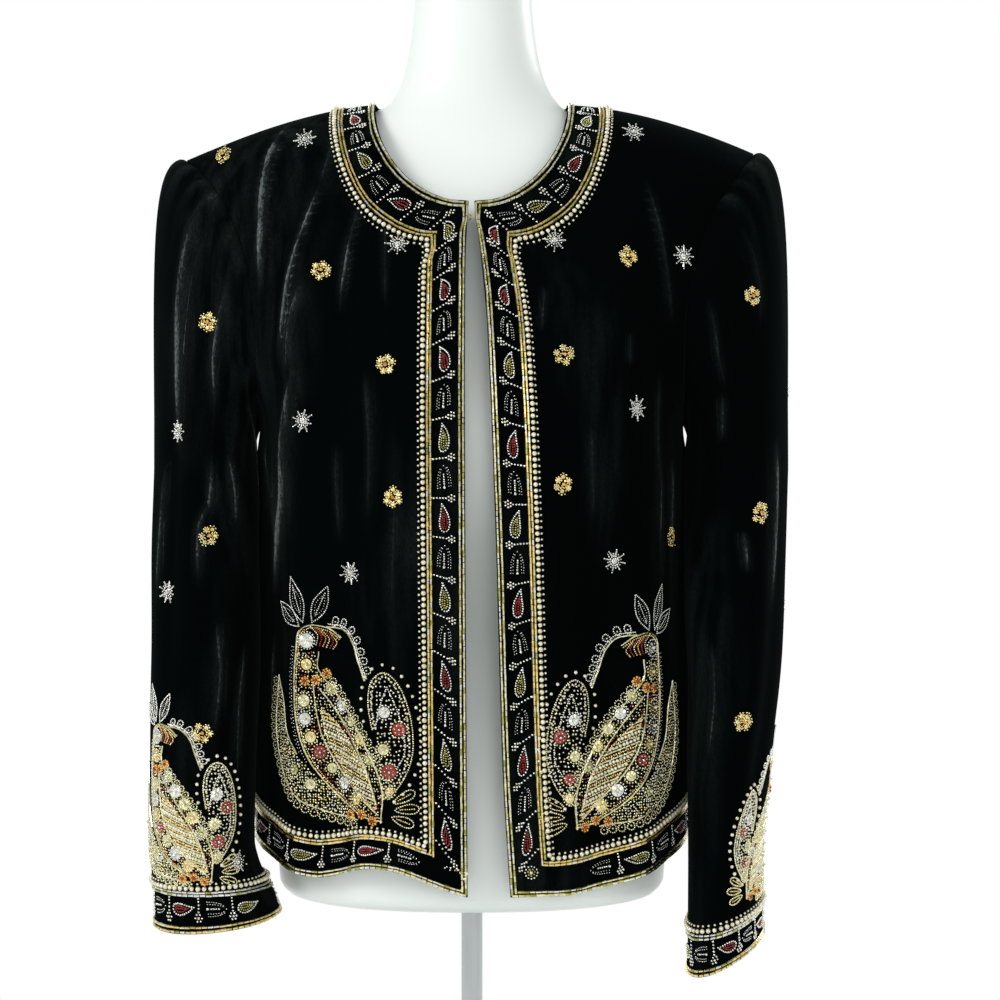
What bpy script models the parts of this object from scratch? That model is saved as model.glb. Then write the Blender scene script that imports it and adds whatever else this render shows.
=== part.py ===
"""Collarless velvet evening jacket worn by a limbless dress form on a short round stand.

Metres, +Z up. The jacket faces -Y and the origin is on the floor under the pole.
Left is -X, as seen from the front. Heights in the tables are above the form's lower edge.
"""

import math
from collections import namedtuple

import bmesh
import bpy
import numpy as np

OBJECT_NAME = "evening_jacket_on_form"

# Stand
STAND_HEIGHT = 0.240
POLE_DIAMETER = 0.016
BASE_DIAMETER = 0.300
BASE_THICKNESS = 0.012
BASE_EDGE_ROUND = 0.003
SOCKET_DIAMETER = 0.042
SOCKET_HEIGHT = 0.030

# Cloth
CLOTH_THICKNESS = 0.0018
SEAM_GAP = 0.0004

# Neck and shoulders of the jacket
NECK_HALF_WIDTH = 0.072
NECK_SIDE_HEIGHT = 0.596
NECK_FRONT_DROP = 0.086
NECK_BACK_RISE = 0.009
NECK_RIDGE_RISE = 0.035
SHOULDER_ROUND = 0.055
UNDERARM_HEIGHT = 0.355
LEFT = -1
RIGHT = 1
FRONT = -1
BACK = 1
Shoulder = namedtuple("Shoulder", "half_width drop curve")
SHOULDERS = {
    LEFT: Shoulder(0.2166, 0.041, 1.55),
    RIGHT: Shoulder(0.2140, 0.036, 1.75),
}

# Beaded border, raised along the front edges, neck, hem and cuffs
BORDER_WIDTH = 0.0325
BORDER_RAISE = 0.0012
BORDER_STEPS = (0.0, 0.0055, 0.0065, 0.0240, 0.0250, 0.0310, 0.0325)
BORDER_RAISED = (1, 1, 0, 0, 1, 1, 0)

# Sections of the jacket body. Above the underarm the width is that of the whole curve
# on which the front and back lie, and the armhole cuts it short.
SECTION_POWER = 2.3
Section = namedtuple("Section", "height half_width front_depth back_depth")
BODY_SECTIONS = (
    Section(0.000, 0.163, 0.110, 0.098),
    Section(0.120, 0.162, 0.116, 0.098),
    Section(0.180, 0.160, 0.121, 0.097),
    Section(0.250, 0.158, 0.128, 0.099),
    Section(0.300, 0.157, 0.134, 0.104),
    Section(0.355, 0.160, 0.138, 0.112),
    Section(0.400, 0.182, 0.134, 0.115),
    Section(0.440, 0.200, 0.122, 0.115),
    Section(0.500, 0.222, 0.098, 0.108),
    Section(0.560, 0.238, 0.076, 0.092),
    Section(0.605, 0.244, 0.064, 0.068),
)

# Armhole, from the underarm up to the shoulder tip
ArmholePoint = namedtuple("ArmholePoint", "climb height half_width")
ARMHOLE = (
    ArmholePoint(0.00, 0.355, 0.1600),
    ArmholePoint(0.12, 0.372, 0.1560),
    ArmholePoint(0.30, 0.410, 0.1540),
    ArmholePoint(0.50, 0.455, 0.1585),
    ArmholePoint(0.70, 0.500, 0.1725),
    ArmholePoint(0.85, 0.532, 0.1930),
)

# How far each front edge stands from the middle
EdgePoint = namedtuple("EdgePoint", "height left right")
FRONT_EDGES = (
    EdgePoint(0.017, 0.0014, 0.0287),
    EdgePoint(0.100, 0.0020, 0.0235),
    EdgePoint(0.300, 0.0028, 0.0174),
    EdgePoint(0.440, 0.0030, 0.0110),
    EdgePoint(0.488, 0.0028, 0.0050),
    EdgePoint(0.500, 0.0006, 0.0026),
    EdgePoint(0.510, 0.0010, 0.0030),
)

# Hem height round the body, from the middle (0) to the side seam (1)
HemPoint = namedtuple("HemPoint", "turn left right back")
HEM = (
    HemPoint(0.00, 0.017, 0.017, 0.047),
    HemPoint(0.23, 0.037, 0.017, 0.046),
    HemPoint(0.43, 0.027, 0.023, 0.050),
    HemPoint(0.67, 0.037, 0.036, 0.048),
    HemPoint(1.00, 0.051, 0.051, 0.051),
)

# Drape folds: distance from the middle and height at both ends, ridges up and troughs down
Fold = namedtuple("Fold", "top_x top_height low_x low_height half_width rise")
LEFT_FOLDS = (
    Fold(0.122, 0.560, 0.150, 0.390, 0.011, -0.0040),
    Fold(0.100, 0.540, 0.132, 0.290, 0.014, 0.0050),
    Fold(0.084, 0.500, 0.090, 0.310, 0.012, -0.0035),
    Fold(0.124, 0.330, 0.124, -0.080, 0.012, 0.0045),
    Fold(0.098, 0.340, 0.095, -0.080, 0.015, -0.0055),
    Fold(0.064, 0.360, 0.062, -0.080, 0.018, 0.0040),
)
RIGHT_FOLDS = (
    Fold(0.128, 0.530, 0.142, 0.300, 0.012, -0.0030),
    Fold(0.122, 0.340, 0.124, -0.080, 0.013, 0.0040),
    Fold(0.092, 0.350, 0.096, -0.080, 0.016, -0.0040),
)
BACK_FOLDS = (
    Fold(0.030, 0.420, 0.040, -0.080, 0.020, -0.0040),
    Fold(0.075, 0.440, 0.082, -0.080, 0.018, 0.0050),
    Fold(0.118, 0.400, 0.118, -0.080, 0.016, -0.0050),
)

# Rows of a panel, as shares of its opening edge (0 hem, 1 neck corner, 2 shoulder)
# and of its side edge (0 hem, 1 underarm, 2 shoulder tip)
FRONT_LOWER_ROWS = 11
FRONT_CORNER_SHARE = 1.10
FRONT_UPPER_SHARES = (0.0, 0.11, 0.24, 0.38, 0.52, 0.66, 0.78, 0.88, 0.95, 1.0)
BACK_UPPER_SHARES = (0.0, 0.22, 0.45, 0.66, 0.82, 0.93, 1.0)
BODY_COLUMNS = 11
BACK_COLUMNS = 10
BACK_UNDERARM_SHARE = 0.62
BACK_CORNER_SHARE = 1.50

# Sleeves: section centre, half sizes, turn about the upright, and drop of the ring at
# its front and inner side
SleeveSection = namedtuple(
    "SleeveSection", "height out forward half_width half_depth turn front_drop inner_drop")
LEFT_SLEEVE = (
    SleeveSection(0.320, 0.2010, 0.014, 0.0375, 0.064, -13.0, 0.000, 0.000),
    SleeveSection(0.250, 0.1965, 0.040, 0.0395, 0.058, -11.0, 0.000, 0.000),
    SleeveSection(0.180, 0.1935, 0.058, 0.0395, 0.053, -9.0, 0.000, 0.000),
    SleeveSection(0.100, 0.1945, 0.065, 0.0380, 0.048, -8.0, 0.000, 0.000),
    SleeveSection(0.050, 0.1945, 0.067, 0.0375, 0.044, -6.0, 0.000, 0.000),
    SleeveSection(0.034, 0.1925, 0.067, 0.0390, 0.043, -4.0, 0.000, 0.000),
    SleeveSection(0.014, 0.1865, 0.066, 0.0425, 0.042, 0.0, 0.000, 0.000),
    SleeveSection(-0.006, 0.1835, 0.066, 0.0450, 0.041, 0.0, 0.003, -0.004),
)
RIGHT_SLEEVE = (
    SleeveSection(0.320, 0.2010, 0.012, 0.0370, 0.064, -13.0, 0.000, 0.000),
    SleeveSection(0.250, 0.1975, 0.030, 0.0360, 0.059, -12.0, 0.000, 0.000),
    SleeveSection(0.180, 0.1945, 0.046, 0.0340, 0.055, -12.0, 0.000, 0.000),
    SleeveSection(0.100, 0.1885, 0.056, 0.0295, 0.050, -14.0, 0.000, 0.000),
    SleeveSection(0.030, 0.1855, 0.060, 0.0255, 0.047, -18.0, 0.004, 0.003),
    SleeveSection(-0.030, 0.1855, 0.062, 0.0255, 0.044, -22.0, 0.010, 0.009),
)
CAP_STEPS = (0.0, 0.06, 0.13, 0.22, 0.33, 0.46, 0.62, 0.80)
SLEEVE_STEPS = 7
HEAD_ANGLE = 70.0
HEAD_STEP = 6.7
GATHERS = 7
GATHER_RISE = 0.0022

# Sleeve folds: angle from the outer side (negative to the front) and height at both ends
SleeveFold = namedtuple("SleeveFold", "top_turn top_height low_turn low_height half_turn rise")
LEFT_SLEEVE_FOLDS = (
    SleeveFold(-40.0, 0.500, -48.0, 0.100, 15.0, -0.0035),
    SleeveFold(-95.0, 0.440, -85.0, 0.060, 17.0, -0.0040),
    SleeveFold(75.0, 0.440, 85.0, 0.080, 20.0, -0.0040),
)
RIGHT_SLEEVE_FOLDS = (
    SleeveFold(-70.0, 0.480, -80.0, 0.160, 16.0, -0.0035),
    SleeveFold(-25.0, 0.300, -35.0, 0.020, 15.0, -0.0030),
    SleeveFold(70.0, 0.440, 80.0, 0.060, 20.0, -0.0040),
)

# Dress form, smooth rings from the lower edge to the neck top
FORM_POINTS = 32
FORM_POWER = 2.25
FORM_NECK_POWER = 2.0
FormRing = namedtuple("FormRing", "height half_width front_depth back_depth")
FORM_RINGS = (
    FormRing(0.000, 0.128, 0.080, 0.079),
    FormRing(0.003, 0.138, 0.088, 0.086),
    FormRing(0.012, 0.145, 0.093, 0.089),
    FormRing(0.055, 0.147, 0.094, 0.089),
    FormRing(0.110, 0.143, 0.091, 0.086),
    FormRing(0.155, 0.134, 0.089, 0.082),
    FormRing(0.200, 0.126, 0.090, 0.078),
    FormRing(0.250, 0.130, 0.099, 0.081),
    FormRing(0.300, 0.142, 0.115, 0.088),
    FormRing(0.350, 0.153, 0.123, 0.095),
    FormRing(0.400, 0.160, 0.115, 0.099),
    FormRing(0.450, 0.164, 0.098, 0.099),
    FormRing(0.495, 0.166, 0.082, 0.094),
    FormRing(0.525, 0.163, 0.073, 0.085),
    FormRing(0.548, 0.148, 0.066, 0.077),
    FormRing(0.565, 0.120, 0.060, 0.069),
    FormRing(0.580, 0.090, 0.055, 0.061),
    FormRing(0.594, 0.068, 0.050, 0.054),
    FormRing(0.612, 0.056, 0.046, 0.050),
    FormRing(0.640, 0.049, 0.043, 0.047),
    FormRing(0.680, 0.045, 0.041, 0.044),
    FormRing(0.706, 0.045, 0.041, 0.044),
    FormRing(0.711, 0.043, 0.039, 0.042),
    FormRing(0.713, 0.038, 0.034, 0.037),
)

# Neck hook and eye, bent from wire behind the front edges
WIRE_RADIUS = 0.0004
HOOK_HEIGHT = 0.4985
HOOK_BACK_Y = -0.0924
EYE_Y = -0.0937
HOOK_FRONT_Y = -0.0950

# Colour, roughness and metallic of each piece
VELVET = ((0.006, 0.009, 0.008), 0.85, 0.0)
BRASS = ((0.62, 0.44, 0.14), 0.35, 1.0)
FORM_WHITE = ((0.80, 0.83, 0.81), 0.38, 0.0)
POLE_GREY = ((0.55, 0.57, 0.58), 0.35, 0.6)


def clear_scene():
    for old in list(bpy.data.objects):
        bpy.data.objects.remove(old, do_unlink=True)


def smooth_value(knots, values, at):
    """Smooth curve through the knots that never overshoots them, level beyond its ends."""
    if at <= knots[0]:
        return values[0]
    if at >= knots[-1]:
        return values[-1]
    slopes = [(values[k + 1] - values[k]) / (knots[k + 1] - knots[k]) for k in range(len(knots) - 1)]
    tangents = [slopes[0]]
    for before, after in zip(slopes, slopes[1:]):
        level = before * after <= 0.0
        tangents.append(0.0 if level else 2.0 * before * after / (before + after))
    tangents.append(slopes[-1])
    k = max(i for i in range(len(knots) - 1) if knots[i] <= at)
    span = knots[k + 1] - knots[k]
    t = (at - knots[k]) / span
    start = (1.0 + 2.0 * t) * (1.0 - t) ** 2 * values[k] + t * (1.0 - t) ** 2 * span * tangents[k]
    end = t * t * (3.0 - 2.0 * t) * values[k + 1] + t * t * (t - 1.0) * span * tangents[k + 1]
    return start + end


def table_value(rows, column, at):
    """Value of a table's column, read smoothly along its first column."""
    knots = [row[0] for row in rows]
    values = [getattr(row, column) for row in rows]
    return smooth_value(knots, values, at)


def ease(share):
    share = min(1.0, max(0.0, share))
    return share * share * (3.0 - 2.0 * share)


# Body surface
def ridge_height(side, x):
    """Height of the shoulder line, and of the neck line that it runs up into."""
    if x < NECK_HALF_WIDTH:
        return NECK_SIDE_HEIGHT + NECK_RIDGE_RISE * (1.0 - (x / NECK_HALF_WIDTH) ** 2)
    shoulder = SHOULDERS[side]
    along = (x - NECK_HALF_WIDTH) / (shoulder.half_width - NECK_HALF_WIDTH)
    return NECK_SIDE_HEIGHT - shoulder.drop * along ** shoulder.curve


def section_turn(x, height):
    """How far round the section a point is: 0 in the middle, 1 at the side seam."""
    share = min(1.0, max(0.0, x) / table_value(BODY_SECTIONS, "half_width", height))
    return math.asin(share ** (SECTION_POWER / 2.0)) / (math.pi / 2.0)


def section_x(turn, height):
    half_width = table_value(BODY_SECTIONS, "half_width", height)
    return half_width * math.sin(min(1.0, turn) * math.pi / 2.0) ** (2.0 / SECTION_POWER)


def surface_y(face, side, x, height):
    """Depth of the cloth, rounding over to the shoulder line near its top."""
    column = "front_depth" if face == FRONT else "back_depth"
    share = min(1.0, x / table_value(BODY_SECTIONS, "half_width", height))
    across = (1.0 - share ** SECTION_POWER) ** (1.0 / SECTION_POWER)
    below = min(1.0, max(0.0, ridge_height(side, x) - height) / SHOULDER_ROUND)
    over = math.sqrt(1.0 - (1.0 - below) ** 2)
    return face * table_value(BODY_SECTIONS, column, height) * across * over


def hem_column(face, side):
    if face == BACK:
        return "back"
    return "left" if side == LEFT else "right"


def opening_edge(face, side, share):
    """Point on the middle edge (share 0 to 1) and then on the neckline (1 to 2)."""
    hem = table_value(HEM, hem_column(face, side), 0.0)
    rise = NECK_BACK_RISE if face == BACK else -NECK_FRONT_DROP
    corner = NECK_SIDE_HEIGHT + rise
    if face == BACK:
        corner_x = 0.0
    else:
        corner_x = table_value(FRONT_EDGES, hem_column(face, side), corner)
    if share <= 1.0:
        height = hem + (corner - hem) * share
        x = 0.0 if face == BACK else table_value(FRONT_EDGES, hem_column(face, side), height)
        return x, height
    angle = (share - 1.0) * math.pi / 2.0
    x = corner_x + (NECK_HALF_WIDTH - corner_x) * math.sin(angle)
    bend = math.cos(angle) ** 2 if face == BACK else math.cos(angle)
    return x, NECK_SIDE_HEIGHT + rise * bend


def side_edge(face, side, share):
    """Point on the side seam (share 0 to 1) and then on the armhole (1 to 2)."""
    if share <= 1.0:
        hem = table_value(HEM, hem_column(face, side), 1.0)
        height = hem + (UNDERARM_HEIGHT - hem) * share
        return table_value(BODY_SECTIONS, "half_width", height), height
    tip = ArmholePoint(1.0, NECK_SIDE_HEIGHT - SHOULDERS[side].drop, SHOULDERS[side].half_width)
    climb = share - 1.0
    armhole = ARMHOLE + (tip,)
    return table_value(armhole, "half_width", climb), table_value(armhole, "height", climb)


def border_way(share):
    """Direction in which the border widens from the opening edge, mitred at the neck corner."""
    if share <= 1.0:
        return 1.0, -share
    up = share - 1.0
    angle = up * math.pi / 2.0
    return math.sin(angle) + (1.0 - up) ** 2, -math.cos(angle)


def fold_rise(folds, x, height):
    """Sum of the drape folds at a point."""
    total = 0.0
    for fold in folds:
        along = (fold.top_height - height) / (fold.top_height - fold.low_height)
        if along <= 0.0 or along >= 1.0:
            continue
        centre = fold.top_x + (fold.low_x - fold.top_x) * along
        fade = ease(along / 0.35) * ease((1.0 - along) / 0.20)
        total += fold.rise * fade * math.exp(-((x - centre) / fold.half_width) ** 2)
    return total


def border_relief(distance):
    """Raise of the bead rails at a distance from the edge."""
    return BORDER_RAISE * float(np.interp(distance, BORDER_STEPS, BORDER_RAISED))


def panel_rows(face, side):
    """Shares of the opening edge and side edge, row by row from the hem."""
    hem_middle = opening_edge(face, side, 0.0)[1]
    middle_length = opening_edge(face, side, 1.0)[1] - hem_middle
    side_length = UNDERARM_HEIGHT - side_edge(face, side, 0.0)[1]
    side_corner = BACK_CORNER_SHARE if face == BACK else FRONT_CORNER_SHARE
    rows = []
    for step in BORDER_STEPS:
        rows.append((step / middle_length, step / side_length))
    first, first_side = rows[-1]
    if face == FRONT:
        for k in range(1, FRONT_LOWER_ROWS):
            along = k / FRONT_LOWER_ROWS
            side_along = k / (FRONT_LOWER_ROWS - 1)
            rows.append((first + (1.0 - first) * along, first_side + (1.0 - first_side) * side_along))
    else:
        for k in range(1, 9):
            along = k / 8
            rows.append((first + (BACK_UNDERARM_SHARE - first) * along,
                         first_side + (1.0 - first_side) * along))
        for k in range(1, 5):
            along = k / 5
            rows.append((BACK_UNDERARM_SHARE + (1.0 - BACK_UNDERARM_SHARE) * along,
                         1.0 + (side_corner - 1.0) * along))
    for up in BACK_UPPER_SHARES if face == BACK else FRONT_UPPER_SHARES:
        rows.append((1.0 + up, side_corner + (2.0 - side_corner) * up))
    return rows


def panel_columns(face):
    """Distance across the border and share of the rest of the panel, column by column."""
    if face == BACK:
        return [(0.0, k / BACK_COLUMNS) for k in range(BACK_COLUMNS + 1)]
    border = [(step, 0.0) for step in BORDER_STEPS]
    return border + [(BORDER_WIDTH, k / BODY_COLUMNS) for k in range(1, BODY_COLUMNS + 1)]


def panel_point(face, side, row, column):
    """Point of the plain panel surface, with x measured from the middle."""
    share, side_share = row
    distance, across = column
    edge_x, edge_height = opening_edge(face, side, share)
    seam_x, seam_height = side_edge(face, side, side_share)
    way_x, way_height = border_way(share)
    width = 0.0 if face == BACK else BORDER_WIDTH
    inner_x = edge_x + width * way_x
    inner_height = edge_height + width * way_height
    fall = 1.0 - (1.0 - across) ** 2
    if across == 0.0:
        x = edge_x + distance * way_x
        height = edge_height + distance * way_height
        turn = section_turn(x, height)
    else:
        start = section_turn(inner_x, inner_height)
        turn = start + (section_turn(seam_x, seam_height) - start) * across
        height = inner_height + (seam_height - inner_height) * fall
    if share < 1.0:
        column_name = hem_column(face, side)
        level = table_value(HEM, column_name, 0.0)
        level += (table_value(HEM, column_name, 1.0) - level) * fall
        height += (table_value(HEM, column_name, turn) - level) * (1.0 - share) ** 2
    if across > 0.0:
        x = section_x(turn, height)
    if share > 1.0:
        drop_start = ridge_height(side, edge_x) - edge_height - distance * way_height
        drop_end = ridge_height(side, seam_x) - seam_height
        drop = drop_start + (drop_end - drop_start) * across
        weight = (share - 1.0) ** 2
        height += (ridge_height(side, x) - drop - height) * weight
    return x, surface_y(face, side, x, height), height


def grid_normals(points, round_tube=False):
    """Unit normals of a grid of points, from the rows and columns next to each."""
    along = np.gradient(points, axis=0)
    if round_tube:
        across = np.roll(points, -1, axis=1) - np.roll(points, 1, axis=1)
    else:
        across = np.gradient(points, axis=1)
    normals = np.cross(across, along)
    return normals / np.linalg.norm(normals, axis=2, keepdims=True)


def unit(vectors):
    return vectors / np.linalg.norm(vectors, axis=-1, keepdims=True)


def panel_walls(face, side, folds):
    """Outer and inner points of a front, or of half of the back."""
    rows = panel_rows(face, side)
    columns = panel_columns(face)
    plain = np.array([[panel_point(face, side, row, column) for column in columns] for row in rows])
    normals = grid_normals(plain)
    if normals[len(rows) // 3, len(columns) // 3, 1] * face < 0.0:
        normals = -normals
    # The side and shoulder seams face straight out, so both panels end on one plane.
    seam_rows = [r for r, row in enumerate(rows) if row[1] <= 1.0]
    normals[seam_rows, -1, 1] = 0.0
    normals[-1, :, 1] = 0.0
    if face == BACK:
        middle_rows = [r for r, row in enumerate(rows) if row[0] <= 1.0]
        normals[middle_rows, 0, 0] = 0.0
    normals = unit(normals)
    plain[seam_rows, -1, 1] = face * SEAM_GAP / 2.0
    plain[-1, :, 1] = face * SEAM_GAP / 2.0
    lift = np.zeros((len(rows), len(columns), 1))
    relief = np.zeros_like(lift)
    for r, (share, side_share) in enumerate(rows):
        hem_distance = share * (opening_edge(face, side, 1.0)[1] - opening_edge(face, side, 0.0)[1])
        for c, (distance, across) in enumerate(columns):
            x, _, height = plain[r, c]
            inward = ease((1.0 - across) / 0.12)
            lift[r, c] = fold_rise(folds, x, height) * inward
            nearest = hem_distance
            if face == FRONT:
                nearest = min(hem_distance, distance + across)
            relief[r, c] = border_relief(nearest)
    middle = plain + normals * lift
    outer = middle + normals * relief
    inner = middle - normals * CLOTH_THICKNESS
    for points in (outer, inner):
        points[:, :, 0] *= side
    return outer, inner, rows


# Meshes
def new_object(name, mesh, collection, look):
    colour, roughness, metallic = look
    material = bpy.data.materials.new(name + "_material")
    material.use_nodes = True
    shader = material.node_tree.nodes["Principled BSDF"]
    shader.inputs["Base Color"].default_value = (*colour, 1.0)
    shader.inputs["Roughness"].default_value = roughness
    shader.inputs["Metallic"].default_value = metallic
    material.diffuse_color = (*colour, 1.0)
    piece = bpy.data.objects.new(name, mesh)
    piece.data.materials.append(material)
    collection.objects.link(piece)
    return piece


def finish_mesh(name, bm):
    """Mesh of a closed body, facing out and shaded smooth."""
    bmesh.ops.recalc_face_normals(bm, faces=bm.faces)
    for face in bm.faces:
        face.smooth = True
    mesh = bpy.data.meshes.new(name)
    bm.to_mesh(mesh)
    bm.free()
    return mesh


def add_wall(bm, outer, inner, round_tube=False):
    """Closed wall between an outer and an inner grid of points.

    Edges of the grid that lie on the plane x = 0 stay open, to join another half.
    """
    count_rows, count_columns = outer.shape[:2]
    skins = []
    for grid in (outer, inner):
        lifted = grid + np.array((0.0, 0.0, STAND_HEIGHT))
        skins.append([[bm.verts.new(point) for point in row] for row in lifted])
    last = count_columns if round_tube else count_columns - 1
    for r in range(count_rows - 1):
        for c in range(last):
            d = (c + 1) % count_columns
            for skin in skins:
                bm.faces.new((skin[r][c], skin[r][d], skin[r + 1][d], skin[r + 1][c]))
    rims = []
    for r in (0, count_rows - 1):
        rims += [((r, c), (r, (c + 1) % count_columns)) for c in range(last)]
    if not round_tube:
        for c in (0, count_columns - 1):
            rims += [((r, c), (r + 1, c)) for r in range(count_rows - 1)]
    for (r, c), (s, d) in rims:
        ends = (skins[0][r][c], skins[0][s][d], skins[1][s][d], skins[1][r][c])
        if all(abs(vert.co.x) < 1e-7 for vert in ends):
            continue
        bm.faces.new(ends)


def cloth_panel(name, halves, collection):
    """Cloth piece from one grid, or from two halves that join on the plane x = 0."""
    bm = bmesh.new()
    for outer, inner, _ in halves:
        add_wall(bm, outer, inner)
    bmesh.ops.remove_doubles(bm, verts=bm.verts, dist=1e-6)
    return new_object(name, finish_mesh(name, bm), collection, VELVET)


def armhole_ring(front, back):
    """Armhole points and their angles, from the underarm over the front to the back."""
    ring = []
    for face, (outer, inner, rows) in ((FRONT, front), (BACK, back)):
        points = [(face * 180.0 * (2.0 - row[1]), outer[r, -1]) for r, row in enumerate(rows)
                  if row[1] >= 1.0 - 1e-9]
        ring.append(points)
    front_points, back_points = ring
    whole = front_points + back_points[-2:0:-1]
    fine = []
    for k, (angle, point) in enumerate(whole):
        next_angle, next_point = whole[(k + 1) % len(whole)]
        if next_angle < angle:
            next_angle += 360.0
        near_head = max(abs(angle), abs(next_angle)) < HEAD_ANGLE
        pieces = max(1, round((next_angle - angle) / HEAD_STEP)) if near_head else 1
        for step in range(pieces):
            share = step / pieces
            fine.append((angle + (next_angle - angle) * share, point + (next_point - point) * share))
    return fine


def sleeve_ring_point(sections, side, angle, height):
    """Point of the sleeve's section at a height, by the angle from its outer side."""
    size = {name: table_value(sections[::-1], name, height) for name in sections[0]._fields[1:]}
    turn = math.radians(size["turn"])
    wide = size["half_width"] * math.cos(angle)
    deep = size["half_depth"] * math.sin(angle)
    x = size["out"] + wide * math.cos(turn) - deep * math.sin(turn)
    y = -size["forward"] + wide * math.sin(turn) + deep * math.cos(turn)
    z = height + size["front_drop"] * math.sin(angle) + size["inner_drop"] * math.cos(angle)
    return np.array((side * x, y, z))


def sleeve_walls(side, ring, sections, folds):
    """Outer and inner points of a sleeve, ring by ring from the armhole to the cuff."""
    cap_end = sections[0].height
    cuff = sections[-1].height
    border = [cuff + step for step in BORDER_STEPS[::-1]]
    heights = list(np.linspace(cap_end, border[0], SLEEVE_STEPS + 1)[:-1]) + border
    rings = []
    for step in CAP_STEPS:
        points = []
        for degrees, start in ring:
            angle = math.radians(degrees)
            up = (1.0 + math.cos(angle)) / 2.0
            begin = start + np.array((side * SEAM_GAP, 0.0, 0.0))
            lean = 0.20 * max(0.0, math.cos(angle)) - 0.5 * max(0.0, -math.cos(angle))
            way = unit(np.array((side, 0.30 * math.sin(angle), lean)))
            end = sleeve_ring_point(sections, side, angle, cap_end)
            first = begin + way * (0.008 + 0.024 * up)
            second = end + np.array((0.0, 0.0, 0.012 + 0.130 * up))
            rest = 1.0 - step
            points.append(rest ** 3 * begin + 3.0 * rest ** 2 * step * first
                          + 3.0 * rest * step ** 2 * second + step ** 3 * end)
        rings.append(points)
    for height in heights:
        rings.append([sleeve_ring_point(sections, side, math.radians(degrees), height)
                      for degrees, _ in ring])
    plain = np.array(rings)
    normals = grid_normals(plain, round_tube=True)
    middle_row = len(CAP_STEPS) + 1
    outward = plain[middle_row] - plain[middle_row].mean(axis=0)
    if np.mean(np.sum(normals[middle_row] * outward, axis=1)) < 0.0:
        normals = -normals
    lift = np.zeros(plain.shape[:2] + (1,))
    relief = np.zeros_like(lift)
    for r in range(len(plain)):
        step = CAP_STEPS[r] if r < len(CAP_STEPS) else 1.0
        for c, (degrees, _) in enumerate(ring):
            head = ease((HEAD_ANGLE - abs(degrees)) / 25.0)
            fade = ease(step / 0.10) * (1.0 - step) ** 3
            wave = math.cos(math.pi * GATHERS * degrees / HEAD_ANGLE)
            lift[r, c] = GATHER_RISE * head * fade * wave
            height = plain[r, c, 2]
            for fold in folds:
                along = (fold.top_height - height) / (fold.top_height - fold.low_height)
                if 0.0 < along < 1.0:
                    centre = fold.top_turn + (fold.low_turn - fold.top_turn) * along
                    beside = (degrees - centre + 180.0) % 360.0 - 180.0
                    window = ease(along / 0.3) * ease((1.0 - along) / 0.3)
                    lift[r, c] += fold.rise * window * math.exp(-(beside / fold.half_turn) ** 2)
            if r >= len(CAP_STEPS) + SLEEVE_STEPS:
                relief[r, c] = border_relief(heights[r - len(CAP_STEPS)] - cuff)
    middle = plain + normals * lift
    return middle + normals * relief, middle - normals * CLOTH_THICKNESS


def cloth_sleeve(name, walls, collection):
    bm = bmesh.new()
    add_wall(bm, walls[0], walls[1], round_tube=True)
    return new_object(name, finish_mesh(name, bm), collection, VELVET)


def power_point(angle, half_width, front_depth, back_depth, power):
    """Point of a rounded section, front at -90 degrees."""
    cosine, sine = math.cos(angle), math.sin(angle)
    depth = back_depth if sine > 0.0 else front_depth
    x = math.copysign(abs(cosine) ** (2.0 / power), cosine) * half_width
    y = math.copysign(abs(sine) ** (2.0 / power), sine) * depth
    return x, y


def dress_form(collection):
    """Smooth torso and neck, lofted through its rings and closed flat at both ends."""
    bm = bmesh.new()
    rings = []
    for ring in FORM_RINGS:
        to_neck = ease((ring.height - 0.52) / 0.08)
        power = FORM_POWER + (FORM_NECK_POWER - FORM_POWER) * to_neck
        points = []
        for k in range(FORM_POINTS):
            angle = 2.0 * math.pi * k / FORM_POINTS
            x, y = power_point(angle, ring.half_width, ring.front_depth, ring.back_depth, power)
            points.append(bm.verts.new((x, y, ring.height + STAND_HEIGHT)))
        rings.append(points)
    for low, high in zip(rings, rings[1:]):
        for k in range(FORM_POINTS):
            n = (k + 1) % FORM_POINTS
            bm.faces.new((low[k], low[n], high[n], high[k]))
    bm.faces.new(rings[0])
    bm.faces.new(rings[-1])
    return new_object("form_torso", finish_mesh("form_torso", bm), collection, FORM_WHITE)


def pole(collection):
    low = BASE_THICKNESS + SOCKET_HEIGHT + SEAM_GAP
    high = STAND_HEIGHT - SEAM_GAP
    bpy.ops.mesh.primitive_cylinder_add(vertices=24, radius=POLE_DIAMETER / 2.0, depth=high - low,
                                        location=(0.0, 0.0, (low + high) / 2.0))
    made = bpy.context.object
    mesh = made.data
    mesh.transform(made.matrix_world)
    for holder in list(made.users_collection):
        holder.objects.unlink(made)
    bpy.data.objects.remove(made)
    for face in mesh.polygons:
        face.use_smooth = len(face.vertices) == 4
    return new_object("form_pole", mesh, collection, POLE_GREY)


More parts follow.
